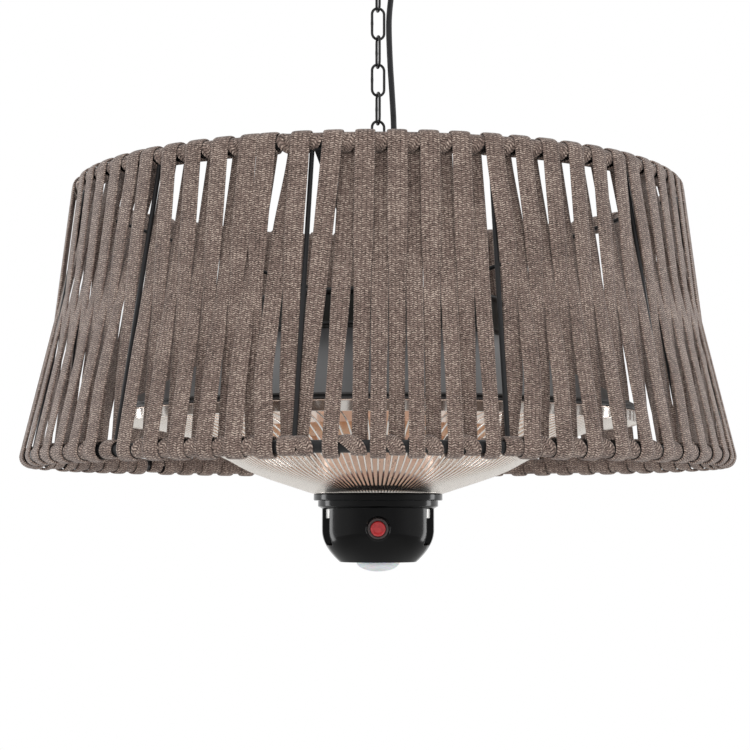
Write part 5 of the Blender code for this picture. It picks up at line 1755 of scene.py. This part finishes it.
class ButtonPiece(bpy.types.Operator):
    """The red push button in its ring, whose back follows the box's round wall: rounded profiles turned
    round the button's own axis"""

    bl_idname = "heater.button"
    bl_label = "Push button and bezel"

    def execute(self, context):
        outline = [(BEZEL_BORE, BEZEL_BACK), *behind(BEZEL_FRONT, BEZEL_FACE), (BEZEL_BARREL, BEZEL_BACK)]
        bezel = turned_forward(outline, BUTTON_Z, 72, closed=True)
        points = bezel["points"]
        wall = -np.sqrt(wall_radius(points[..., 2]) ** 2 - points[..., 0] ** 2) - SEAT_GAP / 2
        rim, back = 8, slice(9, 11)
        points[back, :, 1] = np.maximum(wall[back], points[rim, :, 1] + FINE_EDGE)
        dress("bezel_ring", [bezel], "heater", "gloss_black", ["button_bezel"], BEZEL_SHARP_ANGLE)
        inlay = turned_forward(behind(BEZEL_FRONT, INLAY_FACE), BUTTON_Z, 64, closed=True)
        dress("bezel_inlay", [inlay], "heater", "satin_grey")
        back_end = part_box("push_button")[1].y
        collar_front = BEZEL_BACK + SEAT_GAP
        button = [
            *behind(BUTTON_FRONT, BUTTON_FACE),
            (BUTTON_RADIUS, collar_front),
            (BUTTON_COLLAR_RADIUS, collar_front),
            (BUTTON_COLLAR_RADIUS, back_end),
            (0.0, back_end),
        ]
        shape = turned_forward(softened(button, FINE_EDGE), BUTTON_Z, 64)
        dress("red_button", [shape], "button", "button_red", ["push_button"])
        return {"FINISHED"}


class LensPiece(bpy.types.Operator):
    """The milky lens of the lamp under the box: a quarter of an ellipse turned round the axis"""

    bl_idname = "heater.lens"
    bl_label = "Lamp lens"

    def execute(self, context):
        low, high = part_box("lamp_lens")
        rim = low.z + LENS_DEPTH
        turn = np.radians(np.linspace(0.0, 90.0, 14))

        def dome(radius, depth):
            """A quarter of an ellipse from the rim down to the axis."""
            return np.stack([radius * np.cos(turn), rim - depth * np.sin(turn)], axis=-1)

        outer = np.concatenate([[(LENS_RADIUS, high.z)], dome(LENS_RADIUS, LENS_DEPTH)])
        inside = LENS_RADIUS - LENS_WALL
        inner = np.concatenate([[(inside, high.z)], dome(inside, LENS_DEPTH - LENS_WALL)])
        shell = turned(np.concatenate([outer[::-1], inner]), 64)
        dress("milky_lens", [shell], "heater", "lens_white", ["lamp_lens"])
        return {"FINISHED"}


PIECES = (
    StagePiece,
    CablePiece,
    CeilingPiece,
    ChainPiece,
    EyeboltPiece,
    SpokePiece,
    ShadeFramePiece,
    WindingPiece,
    CapPiece,
    HoodPiece,
    ReflectorPiece,
    HeatingTubePiece,
    GrillePiece,
    ControlBoxPiece,
    ButtonPiece,
    LensPiece,
)
SETTINGS = (
    ("heater_shade", ShadeSettings),
    ("heater_body", HeaterSettings),
    ("heater_studio", StudioSettings),
)


class HeaterPanel(bpy.types.Panel):
    """Lists the heater's pieces and its settings"""

    bl_idname = "VIEW3D_PT_patio_heater"
    bl_label = "Patio heater"
    bl_space_type = "VIEW_3D"
    bl_region_type = "UI"
    bl_category = "Patio Heater"

    def draw(self, context):
        """Shows every setting, then a button for each piece."""
        for name, group in SETTINGS:
            column = self.layout.column(align=True)
            for key in group.__annotations__:
                column.prop(getattr(context.scene, name), key)
        for piece in PIECES:
            self.layout.operator(piece.bl_idname)


def register():
    """Registers the classes and hangs the settings on the scene."""
    for cls in (*(group for _, group in SETTINGS), *PIECES, HeaterPanel):
        bpy.utils.register_class(cls)
    for name, group in SETTINGS:
        setattr(bpy.types.Scene, name, PointerProperty(type=group))


def unregister():
    """Takes the settings and the classes away again."""
    for name, _ in SETTINGS:
        delattr(bpy.types.Scene, name)
    for cls in (HeaterPanel, *PIECES, *(group for _, group in SETTINGS)):
        bpy.utils.unregister_class(cls)


def main():
    """Makes the stage and every piece."""
    register()
    for piece in PIECES:
        family, name = piece.bl_idname.split(".")
        getattr(getattr(bpy.ops, family), name)()


if __name__ == "__main__":
    main()
